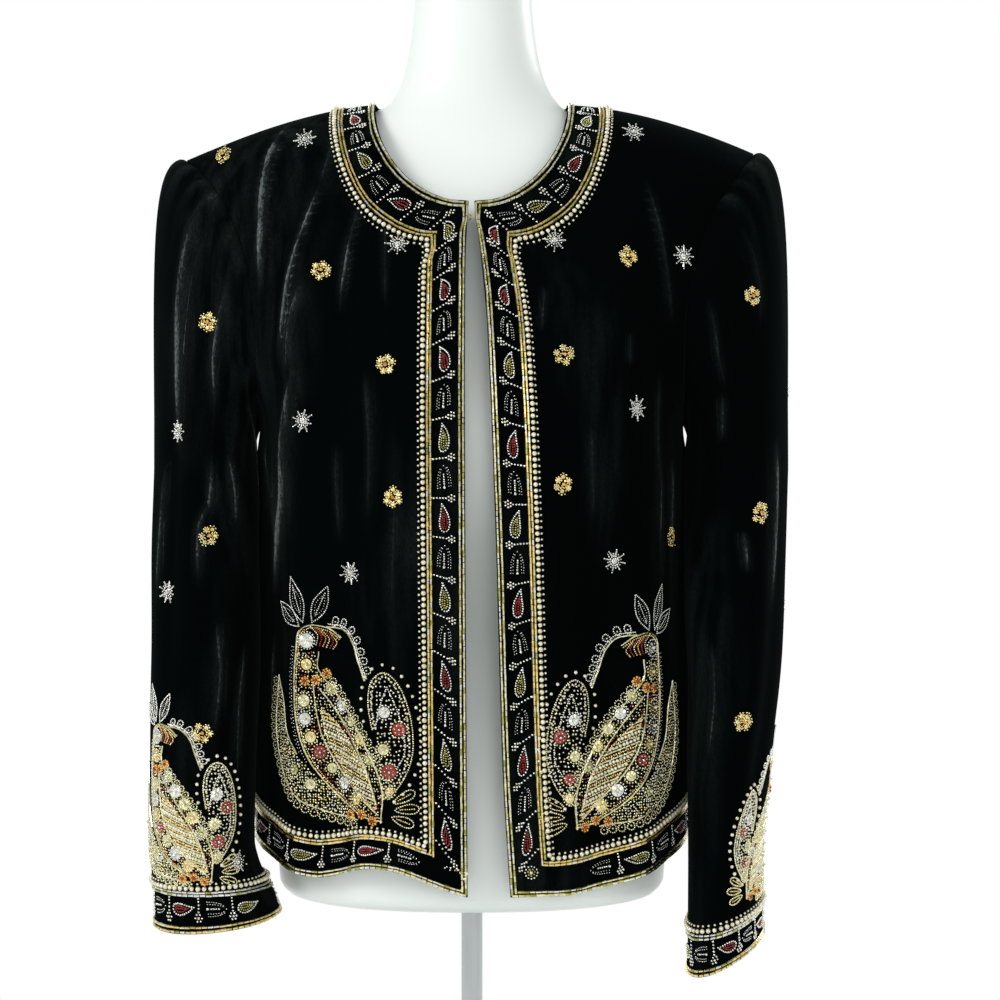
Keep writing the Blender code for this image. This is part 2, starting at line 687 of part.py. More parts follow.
def stand_base(collection):
    """Round plate with a socket for the pole, turned from its profile."""
    radius = BASE_DIAMETER / 2.0
    socket = SOCKET_DIAMETER / 2.0
    top = BASE_THICKNESS + SOCKET_HEIGHT
    profile = (
        (0.0, top),
        (socket - 0.002, top),
        (socket, top - 0.002),
        (socket, BASE_THICKNESS + 0.004),
        (socket + 0.004, BASE_THICKNESS),
        (radius - BASE_EDGE_ROUND, BASE_THICKNESS),
        (radius - 0.0009, BASE_THICKNESS - 0.0009),
        (radius, BASE_THICKNESS - BASE_EDGE_ROUND),
        (radius, 0.001),
        (radius - 0.001, 0.0),
        (0.0, 0.0),
    )
    bm = bmesh.new()
    points = [bm.verts.new((x, 0.0, z)) for x, z in profile]
    for first, second in zip(points, points[1:]):
        bm.edges.new((first, second))
    mesh = bpy.data.meshes.new("form_base")
    bm.to_mesh(mesh)
    bm.free()
    piece = new_object("form_base", mesh, collection, POLE_GREY)
    screw = piece.modifiers.new("turned", "SCREW")
    screw.axis = "Z"
    screw.steps = 36
    screw.render_steps = 36
    screw.use_merge_vertices = True
    screw.merge_threshold = 0.00001
    screw.use_smooth_shade = False
    return piece


def bent_wire(name, path, collection):
    """Round wire bent along a path of points."""
    curve = bpy.data.curves.new(name, "CURVE")
    curve.dimensions = "3D"
    curve.bevel_depth = WIRE_RADIUS
    curve.bevel_resolution = 1
    curve.use_fill_caps = True
    line = curve.splines.new("POLY")
    line.points.add(len(path) - 1)
    for point, (x, y, z) in zip(line.points, path):
        point.co = (x, y, z + STAND_HEIGHT, 1.0)
    return new_object(name, curve, collection, BRASS)


def arc_path(centre, radius, start, stop, steps, plane):
    """Points of an arc, in the upright plane ("xz") or the level one ("xy")."""
    points = []
    for k in range(steps + 1):
        angle = math.radians(start + (stop - start) * k / steps)
        along, up = radius * math.cos(angle), radius * math.sin(angle)
        x, y, z = centre
        points.append((x + along, y, z + up) if plane == "xz" else (x + along, y + up, z))
    return points


def neck_closure(collection):
    """Hook on the right edge caught in a wire eye on the left edge."""
    bight = (HOOK_BACK_Y - HOOK_FRONT_Y) / 2.0
    hook_centre = (-0.0010, (HOOK_BACK_Y + HOOK_FRONT_Y) / 2.0, HOOK_HEIGHT)
    hook = [(0.0090, HOOK_BACK_Y, HOOK_HEIGHT)]
    hook += arc_path(hook_centre, bight, 90.0, 270.0, 8, "xy")
    hook += [(0.0016, HOOK_FRONT_Y, HOOK_HEIGHT)]
    bent_wire("neck_hook", hook, collection)
    eye = [(-0.0080, EYE_Y, HOOK_HEIGHT + 0.0030), (-0.0030, EYE_Y, HOOK_HEIGHT + 0.0030)]
    eye += arc_path((-0.0018, EYE_Y, HOOK_HEIGHT), 0.0024, 70.0, -70.0, 8, "xz")
    eye += [(-0.0030, EYE_Y, HOOK_HEIGHT - 0.0030), (-0.0080, EYE_Y, HOOK_HEIGHT - 0.0030)]
    bent_wire("neck_eye", eye, collection)


def main():
    clear_scene()
    collection = bpy.data.collections.new(OBJECT_NAME)
    bpy.context.scene.collection.children.link(collection)

    front_left = panel_walls(FRONT, LEFT, LEFT_FOLDS)
    front_right = panel_walls(FRONT, RIGHT, RIGHT_FOLDS)
    back_left = panel_walls(BACK, LEFT, BACK_FOLDS)
    back_right = panel_walls(BACK, RIGHT, BACK_FOLDS)
    cloth_panel("front_left", [front_left], collection)
    cloth_panel("front_right", [front_right], collection)
    cloth_panel("back", [back_left, back_right], collection)

    left_ring = armhole_ring(front_left, back_left)
    right_ring = armhole_ring(front_right, back_right)
    cloth_sleeve("sleeve_left", sleeve_walls(LEFT, left_ring, LEFT_SLEEVE, LEFT_SLEEVE_FOLDS), collection)
    cloth_sleeve("sleeve_right", sleeve_walls(RIGHT, right_ring, RIGHT_SLEEVE, RIGHT_SLEEVE_FOLDS),
                 collection)

    dress_form(collection)
    pole(collection)
    stand_base(collection)
    neck_closure(collection)


main()
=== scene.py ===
"""Looks of a collarless velvet evening jacket with beaded borders, worn by a limbless dress form.

Metres, +Z up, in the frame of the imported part. The jacket faces -Y and left is -X.
Heights in the cloth tables are above the form's lower edge.
"""

import math
from collections import namedtuple
from functools import partial

import bmesh
import bpy
import numpy as np
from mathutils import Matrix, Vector
from mathutils.bvhtree import BVHTree


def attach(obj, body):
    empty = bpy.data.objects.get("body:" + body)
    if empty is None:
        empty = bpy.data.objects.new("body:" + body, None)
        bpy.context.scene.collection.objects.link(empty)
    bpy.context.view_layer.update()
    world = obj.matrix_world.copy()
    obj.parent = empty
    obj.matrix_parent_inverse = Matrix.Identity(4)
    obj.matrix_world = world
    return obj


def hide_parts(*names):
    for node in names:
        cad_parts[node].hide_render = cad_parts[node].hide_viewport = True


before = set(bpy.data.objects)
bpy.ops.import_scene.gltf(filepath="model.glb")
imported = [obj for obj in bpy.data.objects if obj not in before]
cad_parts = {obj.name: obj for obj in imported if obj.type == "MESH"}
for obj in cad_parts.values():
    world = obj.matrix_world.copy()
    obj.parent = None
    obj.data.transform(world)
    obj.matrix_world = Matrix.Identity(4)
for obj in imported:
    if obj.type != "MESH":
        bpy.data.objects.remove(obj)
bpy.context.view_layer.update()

RANDOM = np.random.default_rng(7)
TINY = 1e-9
MILLIMETRE = 0.001


def table(kind, rows):
    """Rows of numbers as named rows of one kind."""
    return tuple(kind(*row) for row in rows)


# Stand and cloth
STAND_HEIGHT = 0.240
CLOTH_THICKNESS = 0.0018
SEAM_GAP = 0.0004

# Neck and shoulders of the jacket
NECK_HALF_WIDTH = 0.072
NECK_SIDE_HEIGHT = 0.596
NECK_FRONT_DROP = 0.086
NECK_BACK_RISE = 0.009
NECK_RIDGE_RISE = 0.035
SHOULDER_ROUND = 0.055
UNDERARM_HEIGHT = 0.355
LEFT = -1
RIGHT = 1
FRONT = -1
BACK = 1
Shoulder = namedtuple("Shoulder", "half_width drop curve")
SHOULDERS = {
    LEFT: Shoulder(0.2166, 0.041, 1.55),
    RIGHT: Shoulder(0.2140, 0.036, 1.75),
}

# Border and the rows of a panel across it
BORDER_WIDTH = 0.0325
BORDER_STEPS = (0.0, 0.0055, 0.0065, 0.0240, 0.0250, 0.0310, 0.0325)

# Sections of the jacket body
SECTION_POWER = 2.3
Section = namedtuple("Section", "height half_width front_depth back_depth")
BODY_SECTIONS = table(Section, (
    (0.000, 0.163, 0.110, 0.098),
    (0.120, 0.162, 0.116, 0.098),
    (0.180, 0.160, 0.121, 0.097),
    (0.250, 0.158, 0.128, 0.099),
    (0.300, 0.157, 0.134, 0.104),
    (0.355, 0.160, 0.138, 0.112),
    (0.400, 0.182, 0.134, 0.115),
    (0.440, 0.200, 0.122, 0.115),
    (0.500, 0.222, 0.098, 0.108),
    (0.560, 0.238, 0.076, 0.092),
    (0.605, 0.244, 0.064, 0.068),
))
ArmholePoint = namedtuple("ArmholePoint", "climb height half_width")
ARMHOLE = table(ArmholePoint, (
    (0.00, 0.355, 0.1600),
    (0.12, 0.372, 0.1560),
    (0.30, 0.410, 0.1540),
    (0.50, 0.455, 0.1585),
    (0.70, 0.500, 0.1725),
    (0.85, 0.532, 0.1930),
))
EdgePoint = namedtuple("EdgePoint", "height left right")
FRONT_EDGES = table(EdgePoint, (
    (0.017, 0.0014, 0.0287),
    (0.100, 0.0020, 0.0235),
    (0.300, 0.0028, 0.0174),
    (0.440, 0.0030, 0.0110),
    (0.488, 0.0028, 0.0050),
    (0.500, 0.0006, 0.0026),
    (0.510, 0.0010, 0.0030),
))
HemPoint = namedtuple("HemPoint", "turn left right back")
HEM = table(HemPoint, (
    (0.00, 0.017, 0.017, 0.047),
    (0.23, 0.037, 0.017, 0.046),
    (0.43, 0.027, 0.023, 0.050),
    (0.67, 0.037, 0.036, 0.048),
    (1.00, 0.051, 0.051, 0.051),
))

# Drape folds of the panels, the same as those of the solids: ridges up and troughs down
Fold = namedtuple("Fold", "top top_height low low_height half_width rise")
PANEL_FADES = (0.35, 0.20)
SLEEVE_FADES = (0.30, 0.30)
LEFT_FOLDS = table(Fold, (
    (0.122, 0.560, 0.150, 0.390, 0.011, -0.0040),
    (0.100, 0.540, 0.132, 0.290, 0.014, 0.0050),
    (0.084, 0.500, 0.090, 0.310, 0.012, -0.0035),
    (0.124, 0.330, 0.124, -0.080, 0.012, 0.0045),
    (0.098, 0.340, 0.095, -0.080, 0.015, -0.0055),
    (0.064, 0.360, 0.062, -0.080, 0.018, 0.0040),
))
RIGHT_FOLDS = table(Fold, (
    (0.128, 0.530, 0.142, 0.300, 0.012, -0.0030),
    (0.122, 0.340, 0.124, -0.080, 0.013, 0.0040),
    (0.092, 0.350, 0.096, -0.080, 0.016, -0.0040),
))
BACK_FOLDS = table(Fold, (
    (0.030, 0.420, 0.040, -0.080, 0.020, -0.0040),
    (0.075, 0.440, 0.082, -0.080, 0.018, 0.0050),
    (0.118, 0.400, 0.118, -0.080, 0.016, -0.0050),
))

# Creases of the worn velvet, from the top down: a path of (distance from the middle, height),
# a width and a rise. The outer side of a crease is crisp and its inner side soft.
Crease = namedtuple("Crease", "path width rise")
CRISP_SHARE = 0.45
SOFT_SHARE = 1.30
LINE_REACH = 1.6
LINE_FADE = 0.5
CREASE_FADES = (0.25, 0.35)
# Rise at which a crease's painted sheen reaches its full strength.
FULL_SHEEN_RISE = 0.0020

# The cloth lies calm next to a seam, and is eased out at the sides below the underarm.
SEAM_CALM = 0.12
SIDE_EASE = 0.0040
EASE_START = 0.72
EASE_TOP = (UNDERARM_HEIGHT - 0.002, 0.022)
EASE_FOOT = (0.050, 0.060)

LEFT_CREASES = table(Crease, (
    (((0.134, 0.582), (0.148, 0.545), (0.152, 0.506), (0.152, 0.440)), 0.0050, 0.0021),
    (((0.107, 0.528), (0.117, 0.499), (0.125, 0.476), (0.131, 0.453), (0.137, 0.390)), 0.0032, 0.0018),
    (((0.117, 0.455), (0.127, 0.420), (0.128, 0.380)), 0.0080, 0.0009),
    (((0.120, 0.400), (0.129, 0.362), (0.135, 0.307), (0.138, 0.284), (0.144, 0.222)), 0.0058, 0.0021),
    (((0.153, 0.342), (0.147, 0.313), (0.141, 0.262)), 0.0024, 0.0010),
    (((0.079, 0.510), (0.086, 0.479), (0.090, 0.453), (0.093, 0.426)), 0.0028, 0.0015),
    (((0.061, 0.500), (0.060, 0.470), (0.059, 0.430)), 0.0022, 0.0007),
    (((0.099, 0.566), (0.103, 0.545), (0.110, 0.520)), 0.0026, 0.0006),
    (((0.074, 0.390), (0.070, 0.330), (0.071, 0.280)), 0.0050, 0.0006),
    (((0.052, 0.296), (0.054, 0.222)), 0.0024, 0.0005),
    (((0.095, 0.338), (0.093, 0.262)), 0.0030, 0.0006),
    (((0.142, 0.205), (0.144, 0.150), (0.140, 0.095)), 0.0040, 0.0011),
))
RIGHT_CREASES = table(Crease, (
    (((0.1375, 0.390), (0.1370, 0.323), (0.1365, 0.246)), 0.0022, 0.0010),
    (((0.053, 0.448), (0.050, 0.412)), 0.0022, 0.0008),
    (((0.113, 0.416), (0.113, 0.390)), 0.0026, 0.0007),
    (((0.126, 0.532), (0.139, 0.480), (0.146, 0.420)), 0.0032, 0.0007),
    (((0.085, 0.352), (0.088, 0.278)), 0.0030, 0.0005),
    (((0.148, 0.330), (0.146, 0.255)), 0.0026, 0.0008),
))
BACK_LEFT_CREASES = table(Crease, (
    (((0.104, 0.548), (0.126, 0.480), (0.140, 0.405)), 0.0040, 0.0017),
    (((0.070, 0.520), (0.082, 0.470), (0.087, 0.420)), 0.0030, 0.0011),
    (((0.112, 0.350), (0.119, 0.270), (0.124, 0.190)), 0.0052, 0.0017),
    (((0.048, 0.470), (0.052, 0.395)), 0.0026, 0.0008),
    (((0.060, 0.290), (0.056, 0.220), (0.058, 0.130)), 0.0044, 0.0011),
    (((0.140, 0.300), (0.137, 0.235)), 0.0026, 0.0009),
))
BACK_RIGHT_CREASES = table(Crease, (
    (((0.116, 0.556), (0.133, 0.500), (0.144, 0.430)), 0.0044, 0.0019),
    (((0.090, 0.500), (0.104, 0.440), (0.108, 0.386)), 0.0030, 0.0012),
    (((0.104, 0.330), (0.108, 0.250), (0.104, 0.150)), 0.0056, 0.0017),
    (((0.036, 0.440), (0.040, 0.366)), 0.0026, 0.0008),
    (((0.074, 0.262), (0.070, 0.176)), 0.0032, 0.0009),
    (((0.142, 0.350), (0.138, 0.266)), 0.0026, 0.0009),
))

# Rows and columns of a panel
FRONT_LOWER_ROWS = 11
BACK_LOWER_ROWS = 8
BACK_MIDDLE_ROWS = 5
FRONT_CORNER_SHARE = 1.10
FRONT_UPPER_SHARES = (0.0, 0.11, 0.24, 0.38, 0.52, 0.66, 0.78, 0.88, 0.95, 1.0)
BACK_UPPER_SHARES = (0.0, 0.22, 0.45, 0.66, 0.82, 0.93, 1.0)
BODY_COLUMNS = 11
BACK_COLUMNS = 10
BACK_UNDERARM_SHARE = 0.62
BACK_CORNER_SHARE = 1.50
NECKLINE_LENGTH = 0.17
FRONT_WIDTH = 0.140
BACK_WIDTH = 0.165
FINEST_STEPS = 1.5
ROW_STEP = 0.0044
FRONT_STEP = 0.0016
BACK_STEP = 0.0036

# Sleeves
SleeveSection = namedtuple(
    "SleeveSection", "height out forward half_width half_depth turn front_drop inner_drop",
    defaults=(0.0, 0.0))
LEFT_SLEEVE = table(SleeveSection, (
    (0.320, 0.2010, 0.014, 0.0375, 0.064, -13.0),
    (0.250, 0.1965, 0.040, 0.0395, 0.058, -11.0),
    (0.180, 0.1935, 0.058, 0.0395, 0.053, -9.0),
    (0.100, 0.1945, 0.065, 0.0380, 0.048, -8.0),
    (0.050, 0.1945, 0.067, 0.0375, 0.044, -6.0),
    (0.034, 0.1925, 0.067, 0.0390, 0.043, -4.0),
    (0.014, 0.1865, 0.066, 0.0425, 0.042, 0.0),
    (-0.006, 0.1835, 0.066, 0.0450, 0.041, 0.0, 0.003, -0.004),
))
RIGHT_SLEEVE = table(SleeveSection, (
    (0.320, 0.2010, 0.012, 0.0370, 0.064, -13.0),
    (0.250, 0.1975, 0.030, 0.0360, 0.059, -12.0),
    (0.180, 0.1945, 0.046, 0.0340, 0.055, -12.0),
    (0.100, 0.1885, 0.056, 0.0295, 0.050, -14.0),
    (0.030, 0.1855, 0.060, 0.0255, 0.047, -18.0, 0.004, 0.003),
    (-0.030, 0.1855, 0.062, 0.0255, 0.044, -22.0, 0.010, 0.009),
))
CAP_STEPS = (0.0, 0.06, 0.13, 0.22, 0.33, 0.46, 0.62, 0.80)
HEAD_ANGLE = 70.0
HEAD_FADE = 25.0
SETTLE_START = 0.20
SETTLE_LENGTH = 0.50
GATHERS = 10
GATHER_RISE = 0.0020
GATHER_SHIFT = 3.0
GATHER_BEAT = 0.21
PUCKER_START = 0.05
PUCKER_FADE = 1.6
RINGS_BELOW_CAP = 4
WHOLE_TURN = 360.0
SLEEVE_FINEST = 4.0
CAP_STEP = 0.028
CAP_SPREAD = 0.30
CAP_LEAN_UP = 0.20
CAP_LEAN_UNDER = 0.50
CAP_START = (0.008, 0.024)
CAP_END = (0.012, 0.130)

# Folds of the sleeves, in degrees from the outer side. The last of each fills out the inner side.
LEFT_SLEEVE_FOLDS = table(Fold, (
    (-40.0, 0.500, -48.0, 0.100, 15.0, -0.0035),
    (-95.0, 0.440, -85.0, 0.060, 17.0, -0.0040),
    (75.0, 0.440, 85.0, 0.080, 20.0, -0.0040),
    (-147.0, 0.376, -143.0, 0.262, 24.0, 0.0038),
))
RIGHT_SLEEVE_FOLDS = table(Fold, (
    (-70.0, 0.480, -80.0, 0.160, 16.0, -0.0035),
    (-25.0, 0.300, -35.0, 0.020, 15.0, -0.0030),
    (70.0, 0.440, 80.0, 0.060, 20.0, -0.0040),
    (-144.0, 0.386, -146.0, 0.150, 24.0, 0.0043),
))

# Creases of the sleeves: paths of (degrees from the outer side, height), widths in degrees
LEFT_SLEEVE_CREASES = table(Crease, (
    (((-48, 0.548), (-42, 0.500), (-41, 0.440), (-43, 0.390), (-50, 0.322)), 8.0, 0.0021),
    (((-66, 0.545), (-78, 0.500), (-84, 0.460), (-85, 0.400), (-90, 0.370), (-91, 0.332)), 4.4, 0.0016),
    (((-104, 0.545), (-103, 0.515), (-101, 0.465)), 3.6, 0.0009),
    (((-132, 0.414), (-137, 0.375), (-143, 0.340), (-149, 0.300), (-158, 0.260)), 3.8, 0.0014),
    (((-90, 0.332), (-88, 0.300), (-76, 0.275), (-78, 0.230)), 6.5, 0.0013),
    (((-108, 0.332), (-115, 0.305), (-118, 0.276)), 4.6, 0.0010),
    (((-30, 0.330), (-27, 0.270), (-22, 0.220)), 5.0, 0.0013),
    (((-98, 0.216), (-104, 0.170), (-100, 0.128)), 5.0, 0.0011),
    (((-132, 0.200), (-126, 0.150), (-130, 0.090)), 5.0, 0.0010),
    (((28, 0.470), (36, 0.400), (40, 0.320)), 6.0, 0.0016),
    (((70, 0.500), (80, 0.440), (84, 0.360)), 5.0, 0.0012),
    (((60, 0.280), (72, 0.220), (70, 0.150)), 7.0, 0.0014),
    (((120, 0.300), (108, 0.250), (112, 0.190)), 5.0, 0.0012),
))
RIGHT_SLEEVE_CREASES = table(Crease, (
    (((-97, 0.484), (-93, 0.440), (-95, 0.405), (-90, 0.376)), 4.0, 0.0018),
    (((-94, 0.374), (-97, 0.338)), 5.0, 0.0008),
    (((-148, 0.390), (-150, 0.345), (-156, 0.295)), 3.6, 0.0011),
    (((-30, 0.345), (-32, 0.290), (-28, 0.212)), 8.0, 0.0018),
    (((-72, 0.276), (-66, 0.244)), 6.0, 0.0012),
    (((-50, 0.520), (-44, 0.460), (-48, 0.418)), 5.0, 0.0008),
    (((-110, 0.200), (-104, 0.150), (-108, 0.110)), 5.0, 0.0009),
    (((30, 0.480), (38, 0.410), (36, 0.330)), 6.0, 0.0016),
    (((76, 0.470), (86, 0.400), (84, 0.330)), 5.0, 0.0012),
    (((55, 0.260), (68, 0.200), (64, 0.130)), 7.0, 0.0014),
    (((118, 0.300), (104, 0.240), (108, 0.180)), 5.0, 0.0012),
))

# Dress form, smooth rings from the lower edge to the neck top
FORM_POINTS = 96
FORM_POWER = 2.25
FORM_NECK_POWER = 2.0
FormRing = namedtuple("FormRing", "height half_width front_depth back_depth")
FORM_RINGS = table(FormRing, (
    (0.000, 0.128, 0.080, 0.079),
    (0.003, 0.138, 0.088, 0.086),
    (0.012, 0.145, 0.093, 0.089),
    (0.055, 0.147, 0.094, 0.089),
    (0.110, 0.143, 0.091, 0.086),
    (0.155, 0.134, 0.089, 0.082),
    (0.200, 0.126, 0.090, 0.078),
    (0.250, 0.130, 0.099, 0.081),
    (0.300, 0.142, 0.115, 0.088),
    (0.350, 0.153, 0.123, 0.095),
    (0.400, 0.160, 0.115, 0.099),
    (0.450, 0.164, 0.098, 0.099),
    (0.495, 0.166, 0.082, 0.094),
    (0.525, 0.163, 0.073, 0.085),
    (0.548, 0.148, 0.066, 0.077),
    (0.565, 0.120, 0.060, 0.069),
    (0.580, 0.090, 0.055, 0.061),
    (0.594, 0.068, 0.050, 0.054),
    (0.612, 0.056, 0.046, 0.050),
    (0.640, 0.049, 0.043, 0.047),
    (0.680, 0.045, 0.041, 0.044),
    (0.706, 0.045, 0.041, 0.044),
    (0.711, 0.043, 0.039, 0.042),
    (0.713, 0.038, 0.034, 0.037),
))


# Curves and tables
def smooth_value(knots, values, at):
    """Smooth curve through the knots that never overshoots them, level beyond its ends.

    Each value may be a row of numbers, when the places to read are one column.
    """
    knots = np.asarray(knots, float)
    values = np.asarray(values, float)
    wide = (slice(None),) + (None,) * (values.ndim - 1)
    slopes = np.diff(values, axis=0) / np.diff(knots)[wide]
    product = slopes[:-1] * slopes[1:]
    total = np.where(product > 0.0, slopes[:-1] + slopes[1:], 1.0)
    inner = np.where(product > 0.0, 2.0 * product / total, 0.0)
    tangents = np.concatenate((slopes[:1], inner, slopes[-1:]))
    at = np.clip(at, knots[0], knots[-1])
    k = np.clip(np.searchsorted(knots, at, side="right") - 1, 0, len(knots) - 2)
    span = knots[k + 1] - knots[k]
    t = (at - knots[k]) / span
    if values.ndim > 1:
        span, t = span[wide], t[wide]
    start = (1.0 + 2.0 * t) * (1.0 - t) ** 2 * values[k] + t * (1.0 - t) ** 2 * span * tangents[k]
    end = t * t * (3.0 - 2.0 * t) * values[k + 1] + t * t * (t - 1.0) * span * tangents[k + 1]
    return start + end


def table_value(rows, column, at):
    """Value of a table's column, read smoothly along its first column."""
    return smooth_value([row[0] for row in rows], [getattr(row, column) for row in rows], at)


def ease(share):
    share = np.clip(share, 0.0, 1.0)
    return share * share * (3.0 - 2.0 * share)


def unit(vectors):
    return vectors / np.maximum(np.linalg.norm(vectors, axis=-1, keepdims=True), 1e-12)


def on_stand(points, side=RIGHT):
    """Points on the right turned to their side, and raised from the form's lower edge to the stand."""
    return points * np.array((side, 1.0, 1.0)) + np.array((0.0, 0.0, STAND_HEIGHT))


def arc_lengths(path):
    """Length along a path up to each of its points."""
    return np.concatenate(([0.0], np.cumsum(np.linalg.norm(np.diff(path, axis=0), axis=1))))


def along_path(path, arc, at):
    """Points of a path at lengths along it."""
    return np.stack([np.interp(at, arc, column) for column in path.T], axis=-1)


def finer(rows, step, lengths):
    """Rows with more rows set evenly between each pair, about one for each step of length."""
    fine = []
    for k, length in enumerate(lengths):
        count = max(1, round(length / step))
        for part in range(count):
            fine.append([a + (b - a) * part / count for a, b in zip(rows[k], rows[k + 1])])
    fine.append(list(rows[-1]))
    return np.array(fine)


# Body surface, the same as that of the solids
def ridge_height(side, x):
    shoulder = SHOULDERS[side]
    along = np.maximum(0.0, (x - NECK_HALF_WIDTH) / (shoulder.half_width - NECK_HALF_WIDTH))
    neck = NECK_SIDE_HEIGHT + NECK_RIDGE_RISE * (1.0 - (x / NECK_HALF_WIDTH) ** 2)
    slope = NECK_SIDE_HEIGHT - shoulder.drop * along ** shoulder.curve
    return np.where(x < NECK_HALF_WIDTH, neck, slope)


def section_turn(x, height):
    """How far round the section a point is: 0 in the middle, 1 at the side seam."""
    share = np.clip(x / table_value(BODY_SECTIONS, "half_width", height), 0.0, 1.0)
    return np.arcsin(share ** (SECTION_POWER / 2.0)) / (math.pi / 2.0)


def section_x(turn, height):
    half_width = table_value(BODY_SECTIONS, "half_width", height)
    return half_width * np.sin(np.clip(turn, 0.0, 1.0) * math.pi / 2.0) ** (2.0 / SECTION_POWER)


def surface_y(face, side, x, height):
    """Depth of the cloth, rounding over to the shoulder line near its top."""
    column = "front_depth" if face == FRONT else "back_depth"
    share = np.clip(x / table_value(BODY_SECTIONS, "half_width", height), 0.0, 1.0)
    across = (1.0 - share ** SECTION_POWER) ** (1.0 / SECTION_POWER)
    below = np.clip((ridge_height(side, x) - height) / SHOULDER_ROUND, 0.0, 1.0)
    over = np.sqrt(1.0 - (1.0 - below) ** 2)
    return face * table_value(BODY_SECTIONS, column, height) * across * over


def hem_column(face, side):
    if face == BACK:
        return "back"
    return "left" if side == LEFT else "right"


def opening_edge(face, side, share):
    """Point on the middle edge (share 0 to 1) and then on the neckline (1 to 2)."""
    name = hem_column(face, side)
    hem = table_value(HEM, name, 0.0)
    rise = NECK_BACK_RISE if face == BACK else -NECK_FRONT_DROP
    corner = NECK_SIDE_HEIGHT + rise
    low_height = hem + (corner - hem) * np.minimum(share, 1.0)
    if face == BACK:
        low_x = 0.0 * low_height
        corner_x = 0.0
    else:
        low_x = table_value(FRONT_EDGES, name, low_height)
        corner_x = table_value(FRONT_EDGES, name, corner)
    angle = np.clip(share - 1.0, 0.0, 1.0) * math.pi / 2.0
    neck_x = corner_x + (NECK_HALF_WIDTH - corner_x) * np.sin(angle)
    bend = np.cos(angle) ** 2 if face == BACK else np.cos(angle)
    neck_height = NECK_SIDE_HEIGHT + rise * bend
    return np.where(share <= 1.0, low_x, neck_x), np.where(share <= 1.0, low_height, neck_height)


def side_edge(face, side, share):
    """Point on the side seam (share 0 to 1) and then on the armhole (1 to 2)."""
    hem = table_value(HEM, hem_column(face, side), 1.0)
    low_height = hem + (UNDERARM_HEIGHT - hem) * np.minimum(share, 1.0)
    low_x = table_value(BODY_SECTIONS, "half_width", low_height)
    tip = ArmholePoint(1.0, NECK_SIDE_HEIGHT - SHOULDERS[side].drop, SHOULDERS[side].half_width)
    armhole = ARMHOLE + (tip,)
    climb = np.clip(share - 1.0, 0.0, 1.0)
    high_x = table_value(armhole, "half_width", climb)
    high_height = table_value(armhole, "height", climb)
    return np.where(share <= 1.0, low_x, high_x), np.where(share <= 1.0, low_height, high_height)


def border_way(share):
    """Direction in which the border widens from the opening edge, mitred at the neck corner."""
    up = np.clip(share - 1.0, 0.0, 1.0)
    angle = up * math.pi / 2.0
    way_x = np.where(share <= 1.0, 1.0, np.sin(angle) + (1.0 - up) ** 2)
    way_height = np.where(share <= 1.0, -np.minimum(share, 1.0), -np.cos(angle))
    return way_x, way_height


def panel_point(face, side, share, side_share, distance, across):
    """Points of the plain panel surface, with x measured from the middle."""
    edge_x, edge_height = opening_edge(face, side, share)
    seam_x, seam_height = side_edge(face, side, side_share)
    way_x, way_height = border_way(share)
    width = 0.0 if face == BACK else BORDER_WIDTH
    inner_x = edge_x + width * way_x
    inner_height = edge_height + width * way_height
    border_x = edge_x + distance * way_x
    border_height = edge_height + distance * way_height
    fall = 1.0 - (1.0 - across) ** 2
    start = section_turn(inner_x, inner_height)
    panel_turn = start + (section_turn(seam_x, seam_height) - start) * across
    turn = np.where(across == 0.0, section_turn(border_x, border_height), panel_turn)
    height = np.where(across == 0.0, border_height,
                      inner_height + (seam_height - inner_height) * fall)
    name = hem_column(face, side)
    level = table_value(HEM, name, 0.0)
    level = level + (table_value(HEM, name, 1.0) - level) * fall
    below = np.clip(1.0 - share, 0.0, 1.0) ** 2
    height = height + (table_value(HEM, name, turn) - level) * below
    x = np.where(across > 0.0, section_x(turn, height), border_x)
    drop_start = ridge_height(side, edge_x) - edge_height - distance * way_height
    drop_end = ridge_height(side, seam_x) - seam_height
    drop = drop_start + (drop_end - drop_start) * across
    above = np.clip(share - 1.0, 0.0, 1.0) ** 2
    height = height + (ridge_height(side, x) - drop - height) * above
    return np.stack(np.broadcast_arrays(x, surface_y(face, side, x, height), height), axis=-1)


def panel_lengths(face, side):
    """Lengths of the middle edge and of the side seam."""
    middle = opening_edge(face, side, 1.0)[1] - opening_edge(face, side, 0.0)[1]
    return float(middle), float(UNDERARM_HEIGHT - side_edge(face, side, 0.0)[1])


def panel_rows(face, side):
    """Shares of the opening edge and side edge, row by row from the hem, and the lengths between."""
    middle_length, side_length = panel_lengths(face, side)
    side_corner = BACK_CORNER_SHARE if face == BACK else FRONT_CORNER_SHARE
    rows = [(step / middle_length, step / side_length) for step in BORDER_STEPS]
    first, first_side = rows[-1]
    if face == FRONT:
        for k in range(1, FRONT_LOWER_ROWS):
            along = k / FRONT_LOWER_ROWS
            side_along = k / (FRONT_LOWER_ROWS - 1)
            rows.append((first + (1.0 - first) * along, first_side + (1.0 - first_side) * side_along))
    else:
        for k in range(1, BACK_LOWER_ROWS + 1):
            along = k / BACK_LOWER_ROWS
            rows.append((first + (BACK_UNDERARM_SHARE - first) * along,
                         first_side + (1.0 - first_side) * along))
        for k in range(1, BACK_MIDDLE_ROWS):
            along = k / BACK_MIDDLE_ROWS
            rows.append((BACK_UNDERARM_SHARE + (1.0 - BACK_UNDERARM_SHARE) * along,
                         1.0 + (side_corner - 1.0) * along))
    for up in BACK_UPPER_SHARES if face == BACK else FRONT_UPPER_SHARES:
        rows.append((1.0 + up, side_corner + (2.0 - side_corner) * up))
    lengths = []
    for low, high in zip(rows, rows[1:]):
        scale = middle_length if low[0] < 1.0 - TINY else NECKLINE_LENGTH
        lengths.append((high[0] - low[0]) * scale)
    return np.array(rows), lengths


